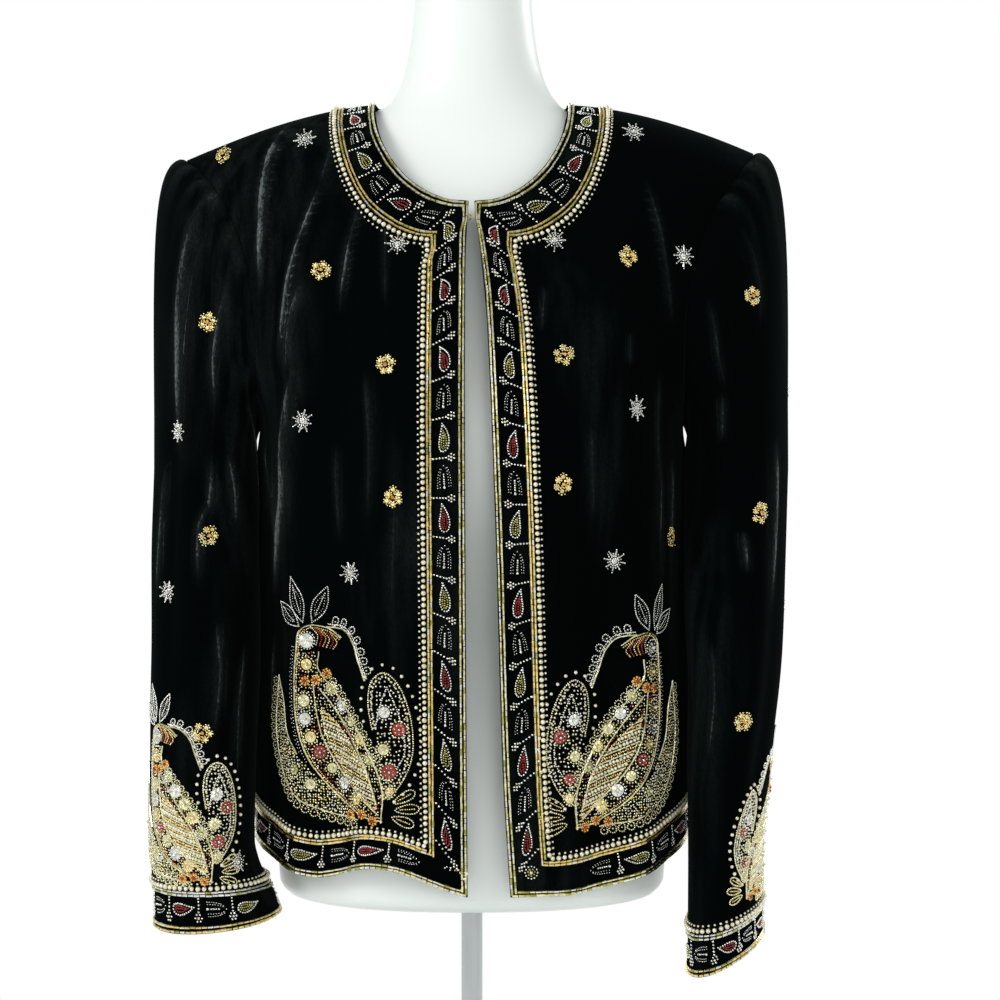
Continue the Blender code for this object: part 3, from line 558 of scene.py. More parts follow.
def panel_columns(face):
    """Distance across the border and share of the rest of the panel, column by column."""
    if face == BACK:
        columns = [(0.0, k / BACK_COLUMNS) for k in range(BACK_COLUMNS + 1)]
        return finer(columns, BACK_STEP, [BACK_WIDTH / BACK_COLUMNS] * BACK_COLUMNS)
    columns = [(step, 0.0) for step in BORDER_STEPS]
    columns += [(BORDER_WIDTH, k / BODY_COLUMNS) for k in range(1, BODY_COLUMNS + 1)]
    lengths = list(np.diff(BORDER_STEPS)) + [FRONT_WIDTH / BODY_COLUMNS] * BODY_COLUMNS
    return finer(columns, FRONT_STEP, lengths)


def short_way(away, whole_turn):
    """Distance the short way round a tube, or as it is on a panel."""
    if whole_turn is None:
        return away
    return (away + whole_turn / 2.0) % whole_turn - whole_turn / 2.0


def fold_rise(folds, across, height, fades, whole_turn=None):
    """Sum of the drape folds at each point, which fade over a share of their length at each end."""
    total = 0.0
    for fold in folds:
        along = np.clip((fold.top_height - height) / (fold.top_height - fold.low_height), 0.0, 1.0)
        away = short_way(across - fold.top - (fold.low - fold.top) * along, whole_turn)
        fade = ease(along / fades[0]) * ease((1.0 - along) / fades[1])
        total = total + fold.rise * fade * np.exp(-(away / fold.half_width) ** 2)
    return total


def crease_rise(creases, across, height, finest, whole_turn=None):
    """Rise of the creases at each point, and the marks that set where sheen is painted on the velvet.

    The marks are the soft spread round all creases, the strength of the nearest one's line,
    and the distance from that line in widths of the crease. No slope is narrower than the finest.
    """
    total, soft, line = (np.zeros_like(height) for _ in range(3))
    beside = np.full_like(height, LINE_REACH)
    for crease in creases:
        path = np.array(crease.path, float)[::-1]
        along = np.clip((path[-1, 1] - height) / (path[-1, 1] - path[0, 1]), 0.0, 1.0)
        away = short_way(across - smooth_value(path[:, 1], path[:, 0], height), whole_turn) / crease.width
        fade = ease(along / CREASE_FADES[0]) * ease((1.0 - along) / CREASE_FADES[1])
        slopes = [max(slope, finest / crease.width) for slope in (CRISP_SHARE, SOFT_SHARE)]
        bell = fade * np.exp(-(away / np.where(away > 0.0, *slopes)) ** 2)
        strength = min(1.0, crease.rise / FULL_SHEEN_RISE)
        total += crease.rise * bell
        # The soft spread and the line marks only set how much sheen is painted into the velvet's colour.
        soft += strength * bell
        mark = strength * fade * ease((LINE_REACH - np.abs(away)) / LINE_FADE)
        nearest = mark > line
        line = np.where(nearest, mark, line)
        beside = np.where(nearest, away, beside)
    return total, (np.clip(soft, 0.0, 1.0), line, beside)


def grid_normals(points, round_tube=False):
    """Unit normals of a grid of points, from the rows and columns next to each."""
    along = np.gradient(points, axis=0)
    if round_tube:
        across = np.roll(points, -1, axis=1) - np.roll(points, 1, axis=1)
    else:
        across = np.gradient(points, axis=1)
    return unit(np.cross(across, along))


Shell = namedtuple("Shell", "outer inner marks rows")
# Marks on the cloth's points that set where sheen is painted into the velvet's colour: its spread, the
# strength of the nearest crease line and the distance beside it.
MARKS = ("sheen_spread", "line", "beside")


def panel_shell(face, side, folds, creases):
    """Outer and inner points of a front, or of half of the back, in the part's frame."""
    rows, lengths = panel_rows(face, side)
    columns = panel_columns(face)
    distance, across = columns[None, :, 0], columns[None, :, 1]
    coarse = panel_point(face, side, rows[:, :1], rows[:, 1:], distance, across)
    knots = np.concatenate(([0.0], np.cumsum(lengths)))
    fine = finer([(knot,) for knot in knots], ROW_STEP, lengths)[:, 0]
    rows = finer(rows.tolist(), ROW_STEP, lengths)
    share, side_share = rows[:, :1], rows[:, 1:]
    plain = smooth_value(knots, coarse, fine)
    plain[..., 1] = surface_y(face, side, plain[..., 0], plain[..., 2])
    normals = grid_normals(plain)
    if normals[len(rows) // 3, len(columns) // 3, 1] * face < 0.0:
        normals = -normals
    seam_rows = side_share[:, 0] <= 1.0 + TINY
    normals[seam_rows, -1, 1] = 0.0
    normals[-1, :, 1] = 0.0
    if face == BACK:
        normals[share[:, 0] <= 1.0 + TINY, 0, 0] = 0.0
    normals = unit(normals)
    plain[seam_rows, -1, 1] = face * SEAM_GAP / 2.0
    plain[-1, :, 1] = face * SEAM_GAP / 2.0
    height = plain[..., 2]
    finest = FINEST_STEPS * (BACK_STEP if face == BACK else FRONT_STEP)
    rise, marks = crease_rise(creases, plain[..., 0], height, finest)
    rise = rise + fold_rise(folds, plain[..., 0], height, PANEL_FADES)
    lift = rise * ease((1.0 - across) / SEAM_CALM)
    looser = ease((EASE_TOP[0] - height) / EASE_TOP[1]) * ease((height - EASE_FOOT[0]) / EASE_FOOT[1])
    lift = lift + SIDE_EASE * looser * ease((across - EASE_START) / (1.0 - EASE_START))
    outer = plain + normals * lift[..., None]
    inner = outer - normals * CLOTH_THICKNESS
    return Shell(on_stand(outer, side), on_stand(inner, side), marks, rows)


def sleeve_ring_point(sections, side, degrees, height):
    """Points of the sleeve's section at a height, by the angle from its outer side."""
    size = {name: table_value(sections[::-1], name, height) for name in sections[0]._fields[1:]}
    angle = np.radians(degrees)
    turn = np.radians(size["turn"])
    wide = size["half_width"] * np.cos(angle)
    deep = size["half_depth"] * np.sin(angle)
    x = size["out"] + wide * np.cos(turn) - deep * np.sin(turn)
    y = -size["forward"] + wide * np.sin(turn) + deep * np.cos(turn)
    z = height + size["front_drop"] * np.sin(angle) + size["inner_drop"] * np.cos(angle)
    return np.stack(np.broadcast_arrays(side * x, y, z), axis=-1)


def sleeve_shell(side, front, back, sections, folds, creases):
    """Outer and inner points of a sleeve, ring by ring from the armhole to the cuff."""
    turns, starts = [], []
    for face, shell in ((FRONT, front), (BACK, back)):
        chosen = np.nonzero(shell.rows[:, 1] >= 1.0 - TINY)[0]
        if face == BACK:
            chosen = chosen[-2:0:-1]
        turns.append(face * 180.0 * (2.0 - shell.rows[chosen, 1]))
        edge = (shell.outer[chosen, -1] + shell.inner[chosen, -1]) / 2.0
        starts.append(edge - np.array((0.0, 0.0, STAND_HEIGHT)))
    degrees = np.concatenate(turns)
    begin = np.concatenate(starts) + np.array((side * SEAM_GAP / 4.0, 0.0, 0.0))
    angle = np.radians(degrees)
    up = (1.0 + np.cos(angle)) / 2.0
    lean = CAP_LEAN_UP * np.maximum(0.0, np.cos(angle)) - CAP_LEAN_UNDER * np.maximum(0.0, -np.cos(angle))
    way = unit(np.stack((np.full_like(angle, side), CAP_SPREAD * np.sin(angle), lean), axis=-1))
    cap_end, cuff = sections[0].height, sections[-1].height
    end = sleeve_ring_point(sections, side, degrees, cap_end)
    first = begin + way * (CAP_START[0] + CAP_START[1] * up)[:, None]
    second = end + np.stack((0.0 * up, 0.0 * up, CAP_END[0] + CAP_END[1] * up), axis=-1)
    caps = finer([(step,) for step in CAP_STEPS + (1.0,)], CAP_STEP, np.diff(CAP_STEPS + (1.0,)))[:-1]
    step = caps[:, :, None]
    rest = 1.0 - step
    cap = (rest ** 3 * begin + 3.0 * rest ** 2 * step * first
           + 3.0 * rest * step ** 2 * second + step ** 3 * end)
    heights = np.arange(cap_end, cuff, -ROW_STEP)
    heights = np.append(heights[heights > cuff + MILLIMETRE], cuff)[:, None]
    tube = sleeve_ring_point(sections, side, degrees[None, :], heights)
    plain = np.concatenate((cap, tube))
    normals = grid_normals(plain, round_tube=True)
    middle = len(caps) + RINGS_BELOW_CAP
    outward = plain[middle] - plain[middle].mean(axis=0)
    if np.mean(np.sum(normals[middle] * outward, axis=1)) < 0.0:
        normals = -normals
    steps = np.concatenate((caps[:, 0], np.ones(len(heights))))[:, None]
    head = ease((HEAD_ANGLE - np.abs(degrees)) / HEAD_FADE)[None, :]
    uneven = degrees + GATHER_SHIFT * np.sin(degrees * GATHER_BEAT)
    wave = np.cos(math.pi * GATHERS * uneven / HEAD_ANGLE)[None, :]
    puckers = head * ease(steps / PUCKER_START) * np.maximum(0.0, 1.0 - PUCKER_FADE * steps) ** 2
    lift, (soft, line, beside) = crease_rise(creases, degrees[None, :], plain[..., 2], SLEEVE_FINEST,
                                             WHOLE_TURN)
    lift = lift + GATHER_RISE * puckers * wave
    # Painted sheen: the crease marks fade in below the cap, and the ridges of the gathers at the sleeve head
    # get painted sheen as well.
    settled = ease((steps - SETTLE_START) / SETTLE_LENGTH)
    soft = np.clip(settled * soft + puckers * np.maximum(0.0, wave) ** 2, 0.0, 1.0)
    line = settled * line
    lift = lift + fold_rise(folds, degrees[None, :], plain[..., 2], SLEEVE_FADES, WHOLE_TURN)
    outer = plain + normals * lift[..., None]
    inner = outer - normals * CLOTH_THICKNESS
    return Shell(on_stand(outer), on_stand(inner), (soft, line, beside), None)


# Meshes
MERGE_DISTANCE = 1e-6
MIDDLE_REACH = 1e-7


def wall_faces(count_rows, count_columns, round_tube):
    """Faces of one skin of a wall, and the pairs of points round its rim."""
    index = np.arange(count_rows * count_columns).reshape(count_rows, count_columns)
    if round_tube:
        index = np.concatenate((index, index[:, :1]), axis=1)
    quads = np.stack((index[:-1, :-1], index[:-1, 1:], index[1:, 1:], index[1:, :-1]), axis=-1)
    rims = [np.stack((row[:-1], row[1:]), axis=-1) for row in (index[0], index[-1])]
    if not round_tube:
        rims += [np.stack((line[:-1], line[1:]), axis=-1) for line in (index[:, 0], index[:, -1])]
    return quads.reshape(-1, 4), np.concatenate(rims)


def cloth_piece(name, shells, round_tube=False):
    """Thin closed shell of cloth. Two halves join on the plane x = 0."""
    points, faces, marks = [], [], []
    start = 0
    for shell in shells:
        count_rows, count_columns = shell.outer.shape[:2]
        size = count_rows * count_columns
        quads, rims = wall_faces(count_rows, count_columns, round_tube)
        skin = np.concatenate((shell.outer.reshape(-1, 3), shell.inner.reshape(-1, 3)))
        rim = np.stack((rims[:, 0], rims[:, 1], rims[:, 1] + size, rims[:, 0] + size), axis=-1)
        on_middle = np.all(np.abs(skin[rim][..., 0]) < MIDDLE_REACH, axis=1)
        faces += [quads + start, quads[:, ::-1] + size + start, rim[~on_middle] + start]
        points.append(skin)
        marks += [np.reshape(shell.marks, (len(MARKS), -1))] * 2
        start += 2 * size
    mesh = bpy.data.meshes.new(name)
    mesh.from_pydata(np.concatenate(points).tolist(), [], np.concatenate(faces).tolist())
    # The marks go on the points, where the velvet reads them to paint its sheen.
    for mark, values in zip(MARKS, np.concatenate(marks, axis=1).astype(np.float32)):
        mesh.attributes.new(mark, "FLOAT", "POINT").data.foreach_set("value", values)
    return smooth_piece(name, mesh, MERGE_DISTANCE)


def smooth_piece(name, mesh, merge=None):
    """Object of a mesh that faces outward, smooth but for its flat ends. Points that meet may be joined."""
    bm = bmesh.new()
    bm.from_mesh(mesh)
    if merge:
        bmesh.ops.remove_doubles(bm, verts=bm.verts, dist=merge)
    bmesh.ops.recalc_face_normals(bm, faces=bm.faces)
    for face in bm.faces:
        face.smooth = len(face.verts) <= 4
    bm.to_mesh(mesh)
    bm.free()
    return link(bpy.data.objects.new(name, mesh))


def link(piece):
    bpy.context.scene.collection.objects.link(piece)
    return piece


def surface_tree(*shells, round_tube=False):
    """Search tree of the outer skin of one or more shells."""
    points, faces = [], []
    start = 0
    for shell in shells:
        quads, _ = wall_faces(*shell.outer.shape[:2], round_tube)
        points.append(shell.outer.reshape(-1, 3))
        faces.append(quads + start)
        start += len(points[-1])
    return BVHTree.FromPolygons(np.concatenate(points).tolist(), np.concatenate(faces).tolist())


def snap(tree, points):
    """Nearest points on the cloth."""
    flat = points.reshape(-1, 3)
    found = np.array([tree.find_nearest(Vector(point))[0] for point in flat])
    return found.reshape(points.shape)


class Patch:
    """Even grid of points on the cloth, read by two lengths: along it and up it."""

    def __init__(self, points, low, step, outward):
        self.points = points
        self.low = np.array(low)
        self.step = np.array(step)
        normals = grid_normals(points)
        sign = np.sign(np.sum(normals * outward, axis=-1, keepdims=True))
        self.normals = normals * np.where(sign == 0.0, 1.0, sign)

    def face_from(self, middle):
        """Turns the normals away from a middle."""
        outward = self.points - middle
        self.normals *= np.sign(np.sum(self.normals * outward, axis=-1, keepdims=True))

    def at(self, places):
        """Points and normals at an array of (along, up) lengths."""
        where = (places - self.low) / self.step
        size = np.array(self.points.shape[1::-1]) - 1
        where = np.clip(where, 0.0, size - 1e-6)
        cell = np.floor(where).astype(int)
        share = where - cell
        c, r = cell[:, 0], cell[:, 1]
        s, t = share[:, :1], share[:, 1:]
        both = []
        for grid in (self.points, self.normals):
            low = grid[r, c] * (1.0 - s) + grid[r, c + 1] * s
            high = grid[r + 1, c] * (1.0 - s) + grid[r + 1, c + 1] * s
            both.append(low * (1.0 - t) + high * t)
        return both[0], unit(both[1])


PATCH_COLUMN = 0.002
PATCH_ROW = 0.004
FRONT_SPAN = (0.205, 0.002)
SLEEVE_SPAN = 150.0
SPAN_POINTS = 160
TURN_POINTS = 150
EYE_DISTANCE = 0.6
FORWARD = np.array((0.0, -1.0, 0.0))


def level_patch(rows, heights, axis_place, reach):
    """Patch from level rows of points, measured along each row from the motif's axis."""
    along = np.arange(-reach, reach + TINY, PATCH_COLUMN)
    grid = []
    for row in rows:
        arc = arc_lengths(row)
        zero = np.interp(axis_place, np.arange(len(row)), arc)
        grid.append(along_path(row, arc, along + zero))
    return Patch(np.array(grid), (-reach, heights[0]), (PATCH_COLUMN, PATCH_ROW), FORWARD)


def front_patch(tree, side, axis_x, low, high, reach):
    """Patch on a front round an upright axis. Lengths along it run to the middle."""
    heights = np.arange(low, high, PATCH_ROW)
    across = np.linspace(*FRONT_SPAN, SPAN_POINTS)
    rows = []
    for height in heights:
        row = []
        for x in across:
            eye = Vector((side * x, -EYE_DISTANCE, height + STAND_HEIGHT))
            row.append(tree.ray_cast(eye, Vector(-FORWARD))[0])
        known = [tuple(hit) for hit in row if hit is not None]
        first = next(k for k, hit in enumerate(row) if hit is not None)
        rows.append(np.array([known[0]] * first + known + [known[-1]] * (len(row) - first - len(known))))
    place = np.interp(-axis_x, -across, np.arange(len(across)))
    return level_patch(rows, heights, place, reach)


def sleeve_patch(tree, side, sections, axis_turn, low, high, reach):
    """Patch on a sleeve round an upright line. Lengths along it run to the middle."""
    heights = np.arange(low, high, PATCH_ROW)
    turns = np.linspace(axis_turn + SLEEVE_SPAN, axis_turn - SLEEVE_SPAN, TURN_POINTS)
    rows = []
    for height in heights:
        ring = sleeve_ring_point(sections, side, turns, height)
        ring[:, 2] = height
        rows.append(snap(tree, on_stand(ring)))
    middle = np.mean(rows, axis=1, keepdims=True)
    place = np.interp(-axis_turn, -turns, np.arange(len(turns)))
    patch = level_patch(rows, heights, place, reach)
    patch.face_from(middle)
    return patch


LANES = np.linspace(0.0, 0.036, 19)
LANE_STEP = LANES[1] - LANES[0]
MIDDLE_LANE = 7
BAND_COLUMN = 0.001
BORDER_POINTS = {
    "hem": 90, "corner": 14, "edge": 160, "neck": 70, "back_hem": 110, "back_neck": 60, "cuff": 240,
}
CUFF_TURNS = (180.0, -200.0)
NECK_MIDDLE_FORWARD = 0.03
NECK_MIDDLE_RISE = 0.02


def band_patch(lanes, tree, outward):
    """Patch on a border. Lengths run along its middle, and up it from the cloth's edge."""
    lanes = snap(tree, np.array(lanes))
    middle = lanes[MIDDLE_LANE]
    arc = arc_lengths(middle)
    even = np.arange(0.0, arc[-1], BAND_COLUMN)
    grid = [along_path(lane, arc, even) for lane in lanes]
    patch = Patch(np.array(grid), (0.0, 0.0), (BAND_COLUMN, LANE_STEP), outward)
    patch.length = arc[-1]
    patch.arc = arc
    return patch


def front_border(side, tree):
    """Border of a front: along its hem, up its edge and round the neck to the shoulder."""
    middle_length, side_length = panel_lengths(FRONT, side)
    lanes = []
    for distance in LANES:
        low = distance / middle_length
        across = np.linspace(1.0, 0.0, BORDER_POINTS["hem"])[:-1]
        inward = np.linspace(BORDER_WIDTH, distance, BORDER_POINTS["corner"])
        edge = np.linspace(low, 1.0, BORDER_POINTS["edge"])[1:]
        neck = np.linspace(1.0, 2.0, BORDER_POINTS["neck"])[1:]
        side_low = distance / side_length
        hem = panel_point(FRONT, side, low, side_low, BORDER_WIDTH, across)
        corner = panel_point(FRONT, side, low, side_low, inward, 0.0 * inward)
        upright = panel_point(FRONT, side, np.concatenate((edge, neck)), 1.0, distance,
                              np.zeros(len(edge) + len(neck)))
        lanes.append(on_stand(np.concatenate((hem, corner, upright)), side))
    patch = band_patch(lanes, tree, np.array((0.0, -1.0, 0.35)))
    patch.corner = patch.arc[len(across) + len(inward) - 1]
    return patch


def back_hem_border(tree):
    """Border along the hem of the back, from side seam to side seam."""
    middle_length, side_length = panel_lengths(BACK, LEFT)
    lanes = []
    across = np.linspace(1.0, 0.0, BORDER_POINTS["back_hem"])
    for distance in LANES:
        halves = []
        for side, order in ((LEFT, across), (RIGHT, across[::-1][1:])):
            half = panel_point(BACK, side, distance / middle_length, distance / side_length, 0.0, order)
            halves.append(on_stand(half, side))
        lanes.append(np.concatenate(halves))
    return band_patch(lanes, tree, np.array((0.0, 1.0, 0.0)))


def back_neck_border(tree):
    """Border round the back of the neck, from shoulder to shoulder."""
    share = np.linspace(2.0, 1.0, BORDER_POINTS["back_neck"])
    halves = []
    for side, order in ((LEFT, share), (RIGHT, share[::-1][1:])):
        x, height = opening_edge(BACK, side, order)
        y = surface_y(BACK, side, x, height)
        halves.append(on_stand(np.stack((x, y, height), axis=-1), side))
    edge = snap(tree, np.concatenate(halves))
    middle = np.array((0.0, -NECK_MIDDLE_FORWARD, edge[:, 2].max() + NECK_MIDDLE_RISE))
    away = unit(edge - middle)
    forward = unit(np.gradient(edge, axis=0))
    away = unit(away - forward * np.sum(away * forward, axis=1, keepdims=True))
    lanes = [edge]
    for step in np.diff(LANES):
        lanes.append(snap(tree, lanes[-1] + away * step))
    return band_patch(lanes, tree, np.array((0.0, 0.6, 0.8)))


def cuff_border(side, sections, tree):
    """Border round a cuff, which laps over its own start."""
    turns = np.linspace(*CUFF_TURNS, BORDER_POINTS["cuff"])
    cuff = sections[-1].height
    rings = [sleeve_ring_point(sections, side, turns, cuff + distance) for distance in LANES]
    lanes = on_stand(np.array(rings))
    patch = band_patch(lanes, tree, FORWARD)
    patch.face_from(lanes.reshape(-1, 3).mean(axis=0))
    patch.length *= WHOLE_TURN / (turns[0] - turns[-1])
    return patch


# Bead shapes: points, triangles and whether they are shaded smooth
def ball_shape(detail):
    bm = bmesh.new()
    bmesh.ops.create_icosphere(bm, subdivisions=detail, radius=1.0)
    points = np.array([vert.co[:] for vert in bm.verts])
    faces = np.array([[vert.index for vert in face.verts] for face in bm.faces])
    bm.free()
    return points, faces, True


def turned_shape(profile, sides, crinkle=0.0):
    """Shape turned from (radius, height) rows. A crinkle lifts every other point of the rim."""
    points, faces = [], []
    for radius, height in profile:
        for n in range(sides):
            angle = 2.0 * math.pi * n / sides
            lift = crinkle * (n % 2) * radius
            points.append((radius * math.cos(angle), radius * math.sin(angle), height + lift))
    for k in range(len(profile) - 1):
        for n in range(sides):
            m = (n + 1) % sides
            a, b, c, d = k * sides + n, k * sides + m, (k + 1) * sides + m, (k + 1) * sides + n
            faces += [(a, b, c), (a, c, d)]
    top = (len(profile) - 1) * sides
    points.append((0.0, 0.0, profile[-1][1]))
    faces += [(top + n, top + (n + 1) % sides, len(points) - 1) for n in range(sides)]
    return np.array(points), np.array(faces), False


def bugle_shape(sides=6):
    """Short glass tube along the first axis."""
    points, faces = [], []
    for x in (-1.0, 1.0):
        for n in range(sides):
            angle = 2.0 * math.pi * n / sides
            points.append((x, math.cos(angle), math.sin(angle)))
    for n in range(sides):
        m = (n + 1) % sides
        faces += [(n, sides + n, m), (m, sides + n, sides + m)]
    for n in range(1, sides - 1):
        faces += [(0, n, n + 1), (sides, sides + n + 1, sides + n)]
    return np.array(points), np.array(faces), False


SHAPES = {
    "seed": ball_shape(1),
    "pearl": ball_shape(2),
    "bugle": bugle_shape(),
    "wheel": turned_shape(((1.0, 0.0), (0.98, 0.16), (0.45, 0.34), (0.22, 0.22)), 16, 0.14),
    "jewel": turned_shape(((1.0, 0.0), (0.96, 0.22), (0.58, 0.55)), 8),
}
BeadLook = namedtuple("BeadLook", "dark pale roughness metallic coat")
BEAD_LOOKS = {
    "gold": BeadLook((0.68, 0.51, 0.19), (0.95, 0.79, 0.40), 0.24, 1.0, 0.0),
    "silver": BeadLook((0.62, 0.62, 0.58), (0.92, 0.91, 0.86), 0.20, 1.0, 0.0),
    "pearl": BeadLook((0.66, 0.60, 0.40), (0.92, 0.88, 0.70), 0.24, 0.35, 0.6),
    "red": BeadLook((0.12, 0.006, 0.005), (0.36, 0.020, 0.012), 0.22, 0.25, 0.5),
    "olive": BeadLook((0.30, 0.29, 0.07), (0.58, 0.55, 0.20), 0.26, 0.85, 0.0),
    "amber": BeadLook((0.66, 0.24, 0.03), (0.95, 0.52, 0.09), 0.22, 0.7, 0.4),
    "straw": BeadLook((0.61, 0.57, 0.31), (0.93, 0.89, 0.63), 0.22, 1.0, 0.0),
}
LOOKS = tuple(BEAD_LOOKS)
BEAD_JITTER = 0.06
BEAD_SPREAD = 0.05


class Beadwork:
    """Beads sewn on one piece of cloth, joined into one mesh."""

    def __init__(self, name):
        self.name = name
        self.rows = {}

    def add(self, shape, look, points, along, normals, size):
        """Beads of half sizes (along, across, up) in metres."""
        size = np.broadcast_to(np.asarray(size, float), points.shape)
        self.rows.setdefault((shape, look), []).append((points, along, normals, size))

    def build(self, materials):
        points, faces, marks, smooth = [], [], [], []
        start = 0
        for (shape, look), rows in self.rows.items():
            form, triangles, is_smooth = SHAPES[shape]
            centre, along, up, size = (np.concatenate([row[k] for row in rows]) for k in range(4))
            along = unit(along - up * np.sum(along * up, axis=1, keepdims=True))
            side = np.cross(up, along)
            scaled = form[None, :, :] * size[:, None, :]
            axes = np.stack((along, side, up), axis=1)
            placed = centre[:, None, :] + np.einsum("nvk,nkc->nvc", scaled, axes)
            offsets = start + len(form) * np.arange(len(centre))
            tied = triangles[None, :, :] + offsets[:, None, None]
            points.append(placed.reshape(-1, 3))
            faces.append(tied.reshape(-1, 3))
            marks.append(np.full(len(centre) * len(triangles), LOOKS.index(look)))
            smooth.append(np.full(len(centre) * len(triangles), is_smooth))
            start += len(centre) * len(form)
        points = np.concatenate(points).astype(np.float32)
        faces = np.concatenate(faces).astype(np.int32)
        mesh = bpy.data.meshes.new(self.name)
        mesh.vertices.add(len(points))
        mesh.vertices.foreach_set("co", points.ravel())
        mesh.loops.add(faces.size)
        mesh.loops.foreach_set("vertex_index", faces.ravel())
        mesh.polygons.add(len(faces))
        mesh.polygons.foreach_set("loop_start", np.arange(0, faces.size, 3, dtype=np.int32))
        mesh.polygons.foreach_set("material_index", np.concatenate(marks).astype(np.int32))
        mesh.polygons.foreach_set("use_smooth", np.concatenate(smooth))
        mesh.update(calc_edges=True)
        mesh.validate()
        for look in LOOKS:
            mesh.materials.append(materials[look])
        return link(bpy.data.objects.new(self.name, mesh))


# Motifs, drawn in millimetres
def through(points, steps=14):
    """Smooth path through a few points."""
    points = np.array(points, float)
    ends = np.concatenate((2.0 * points[:1] - points[1:2], points, 2.0 * points[-1:] - points[-2:-1]))
    t = np.linspace(0.0, 1.0, steps, endpoint=False)[:, None]
    path = []
    for k in range(1, len(ends) - 2):
        a, b, c, d = ends[k - 1:k + 3]
        path.append(0.5 * (2.0 * b + (c - a) * t + (2.0 * a - 5.0 * b + 4.0 * c - d) * t ** 2
                           + (3.0 * b - a - 3.0 * c + d) * t ** 3))
    path.append(points[-1:])
    return np.concatenate(path)


def spaced(path, pitch, closed=False):
    """Points set evenly along a path, and the direction at each."""
    path = np.asarray(path, float)
    if closed:
        path = np.concatenate((path, path[:1]))
    arc = arc_lengths(path)
    count = max(2, round(arc[-1] / pitch) + (0 if closed else 1))
    at = np.linspace(0.0, arc[-1], count, endpoint=not closed)
    ahead = along_path(path, arc, np.minimum(at + 0.2, arc[-1]))
    behind = along_path(path, arc, np.maximum(at - 0.2, 0.0))
    return along_path(path, arc, at), unit(ahead - behind)


def side_step(path, distance):
    """Path moved sideways."""
    way = unit(np.gradient(path, axis=0))
    return path + distance * np.stack((-way[:, 1], way[:, 0]), axis=-1)


def inside(path, points):
    """Which points lie inside a closed path."""
    x, y = points[:, 0], points[:, 1]
    hit = np.zeros(len(points), bool)
    for (ax, ay), (bx, by) in zip(path, np.roll(path, -1, axis=0)):
        crosses = (ay > y) != (by > y)
        if ay != by:
            hit ^= crosses & (x < (bx - ax) * (y - ay) / (by - ay) + ax)
    return hit


class Motif:
    """Place, turn and scale of a motif on a patch of cloth."""

    def __init__(self, beads, patch, place, turn=0.0, scale=1.0):
        self.beads = beads
        self.patch = patch
        self.place = np.array(place, float)
        self.turn = np.array(((math.cos(turn), math.sin(turn)), (-math.sin(turn), math.cos(turn))))
        self.scale = scale

    def lay(self, points):
        return self.place + np.asarray(points, float) @ self.turn * self.scale * MILLIMETRE

    def dots(self, points, shape, look, size, along=None, sink=0.75):
        """Beads of half sizes in millimetres at points of the motif."""
        points = np.atleast_2d(np.asarray(points, float))
        if along is None:
            along = np.tile((1.0, 0.0), (len(points), 1))
        along = np.atleast_2d(np.asarray(along, float))
        size = np.broadcast_to(np.asarray(size, float), (3,)) * MILLIMETRE
        jitter = RANDOM.normal(0.0, BEAD_JITTER, points.shape)
        at, normals = self.patch.at(self.lay(points + jitter))
        ahead, _ = self.patch.at(self.lay(points + jitter + 0.5 * along))
        vary = 1.0 + RANDOM.normal(0.0, BEAD_SPREAD, (len(points), 1))
        sizes = size[None, :] * vary
        self.beads.add(shape, look, at + normals * sizes[:, 2:] * sink, unit(ahead - at), normals, sizes)

    def row(self, path, shape, look, pitch, size, closed=False, sink=0.75):
        points, along = spaced(path, pitch, closed)
        self.dots(points, shape, look, size, along, sink)

    def wheel(self, centre, radius, look, rim="gold", heart="pearl"):
        """Crinkled disc in a ring of seeds, with a bead in the middle."""
        self.dots([centre], "wheel", look, (radius * 0.78, radius * 0.78, radius * 0.5), sink=0.1)
        ring = ring_points(centre, radius * 0.98, max(9, round(radius * 2.7)))
        self.dots(ring, "seed", rim, 0.85)
        self.dots(ring_points(centre, radius * 0.52, 7, 0.3), "seed", rim, 0.62, sink=1.9)
        self.dots([centre], "seed", heart, (1.2, 1.2, 1.6), sink=1.0)

    def leaf(self, base, tip, width, outline, fill=None, pitch=1.9, seed=0.85, pointed=False):
        """Leaf of seeds between two points, with a row of smaller ones inside."""
        base, tip = np.array(base, float), np.array(tip, float)
        length = np.linalg.norm(tip - base)
        t = np.linspace(0.0, 2.0 * math.pi, 40, endpoint=False)
        along = 0.5 - 0.5 * np.cos(t)
        side = 0.5 * width * np.sin(t) * (1.0 - 0.35 * np.cos(t))
        if pointed:
            along = 1.0 - np.abs(t / math.pi - 1.0)
            side = 0.5 * width * np.sin(t) * (1.15 - 0.3 * along)
        way = (tip - base) / length
        path = base + along[:, None] * (tip - base) + side[:, None] * np.array((-way[1], way[0]))
        self.row(path, "seed", outline, pitch, seed, closed=True)
        if fill:
            middle = np.array((base + 0.22 * (tip - base), base + 0.80 * (tip - base)))
            self.row(middle, "seed", fill, pitch, seed * 0.9)


def ring_points(centre, radius, count, start=0.0):
    angle = start + 2.0 * math.pi * np.arange(count) / count
    return np.asarray(centre, float) + radius * np.stack((np.cos(angle), np.sin(angle)), axis=-1)


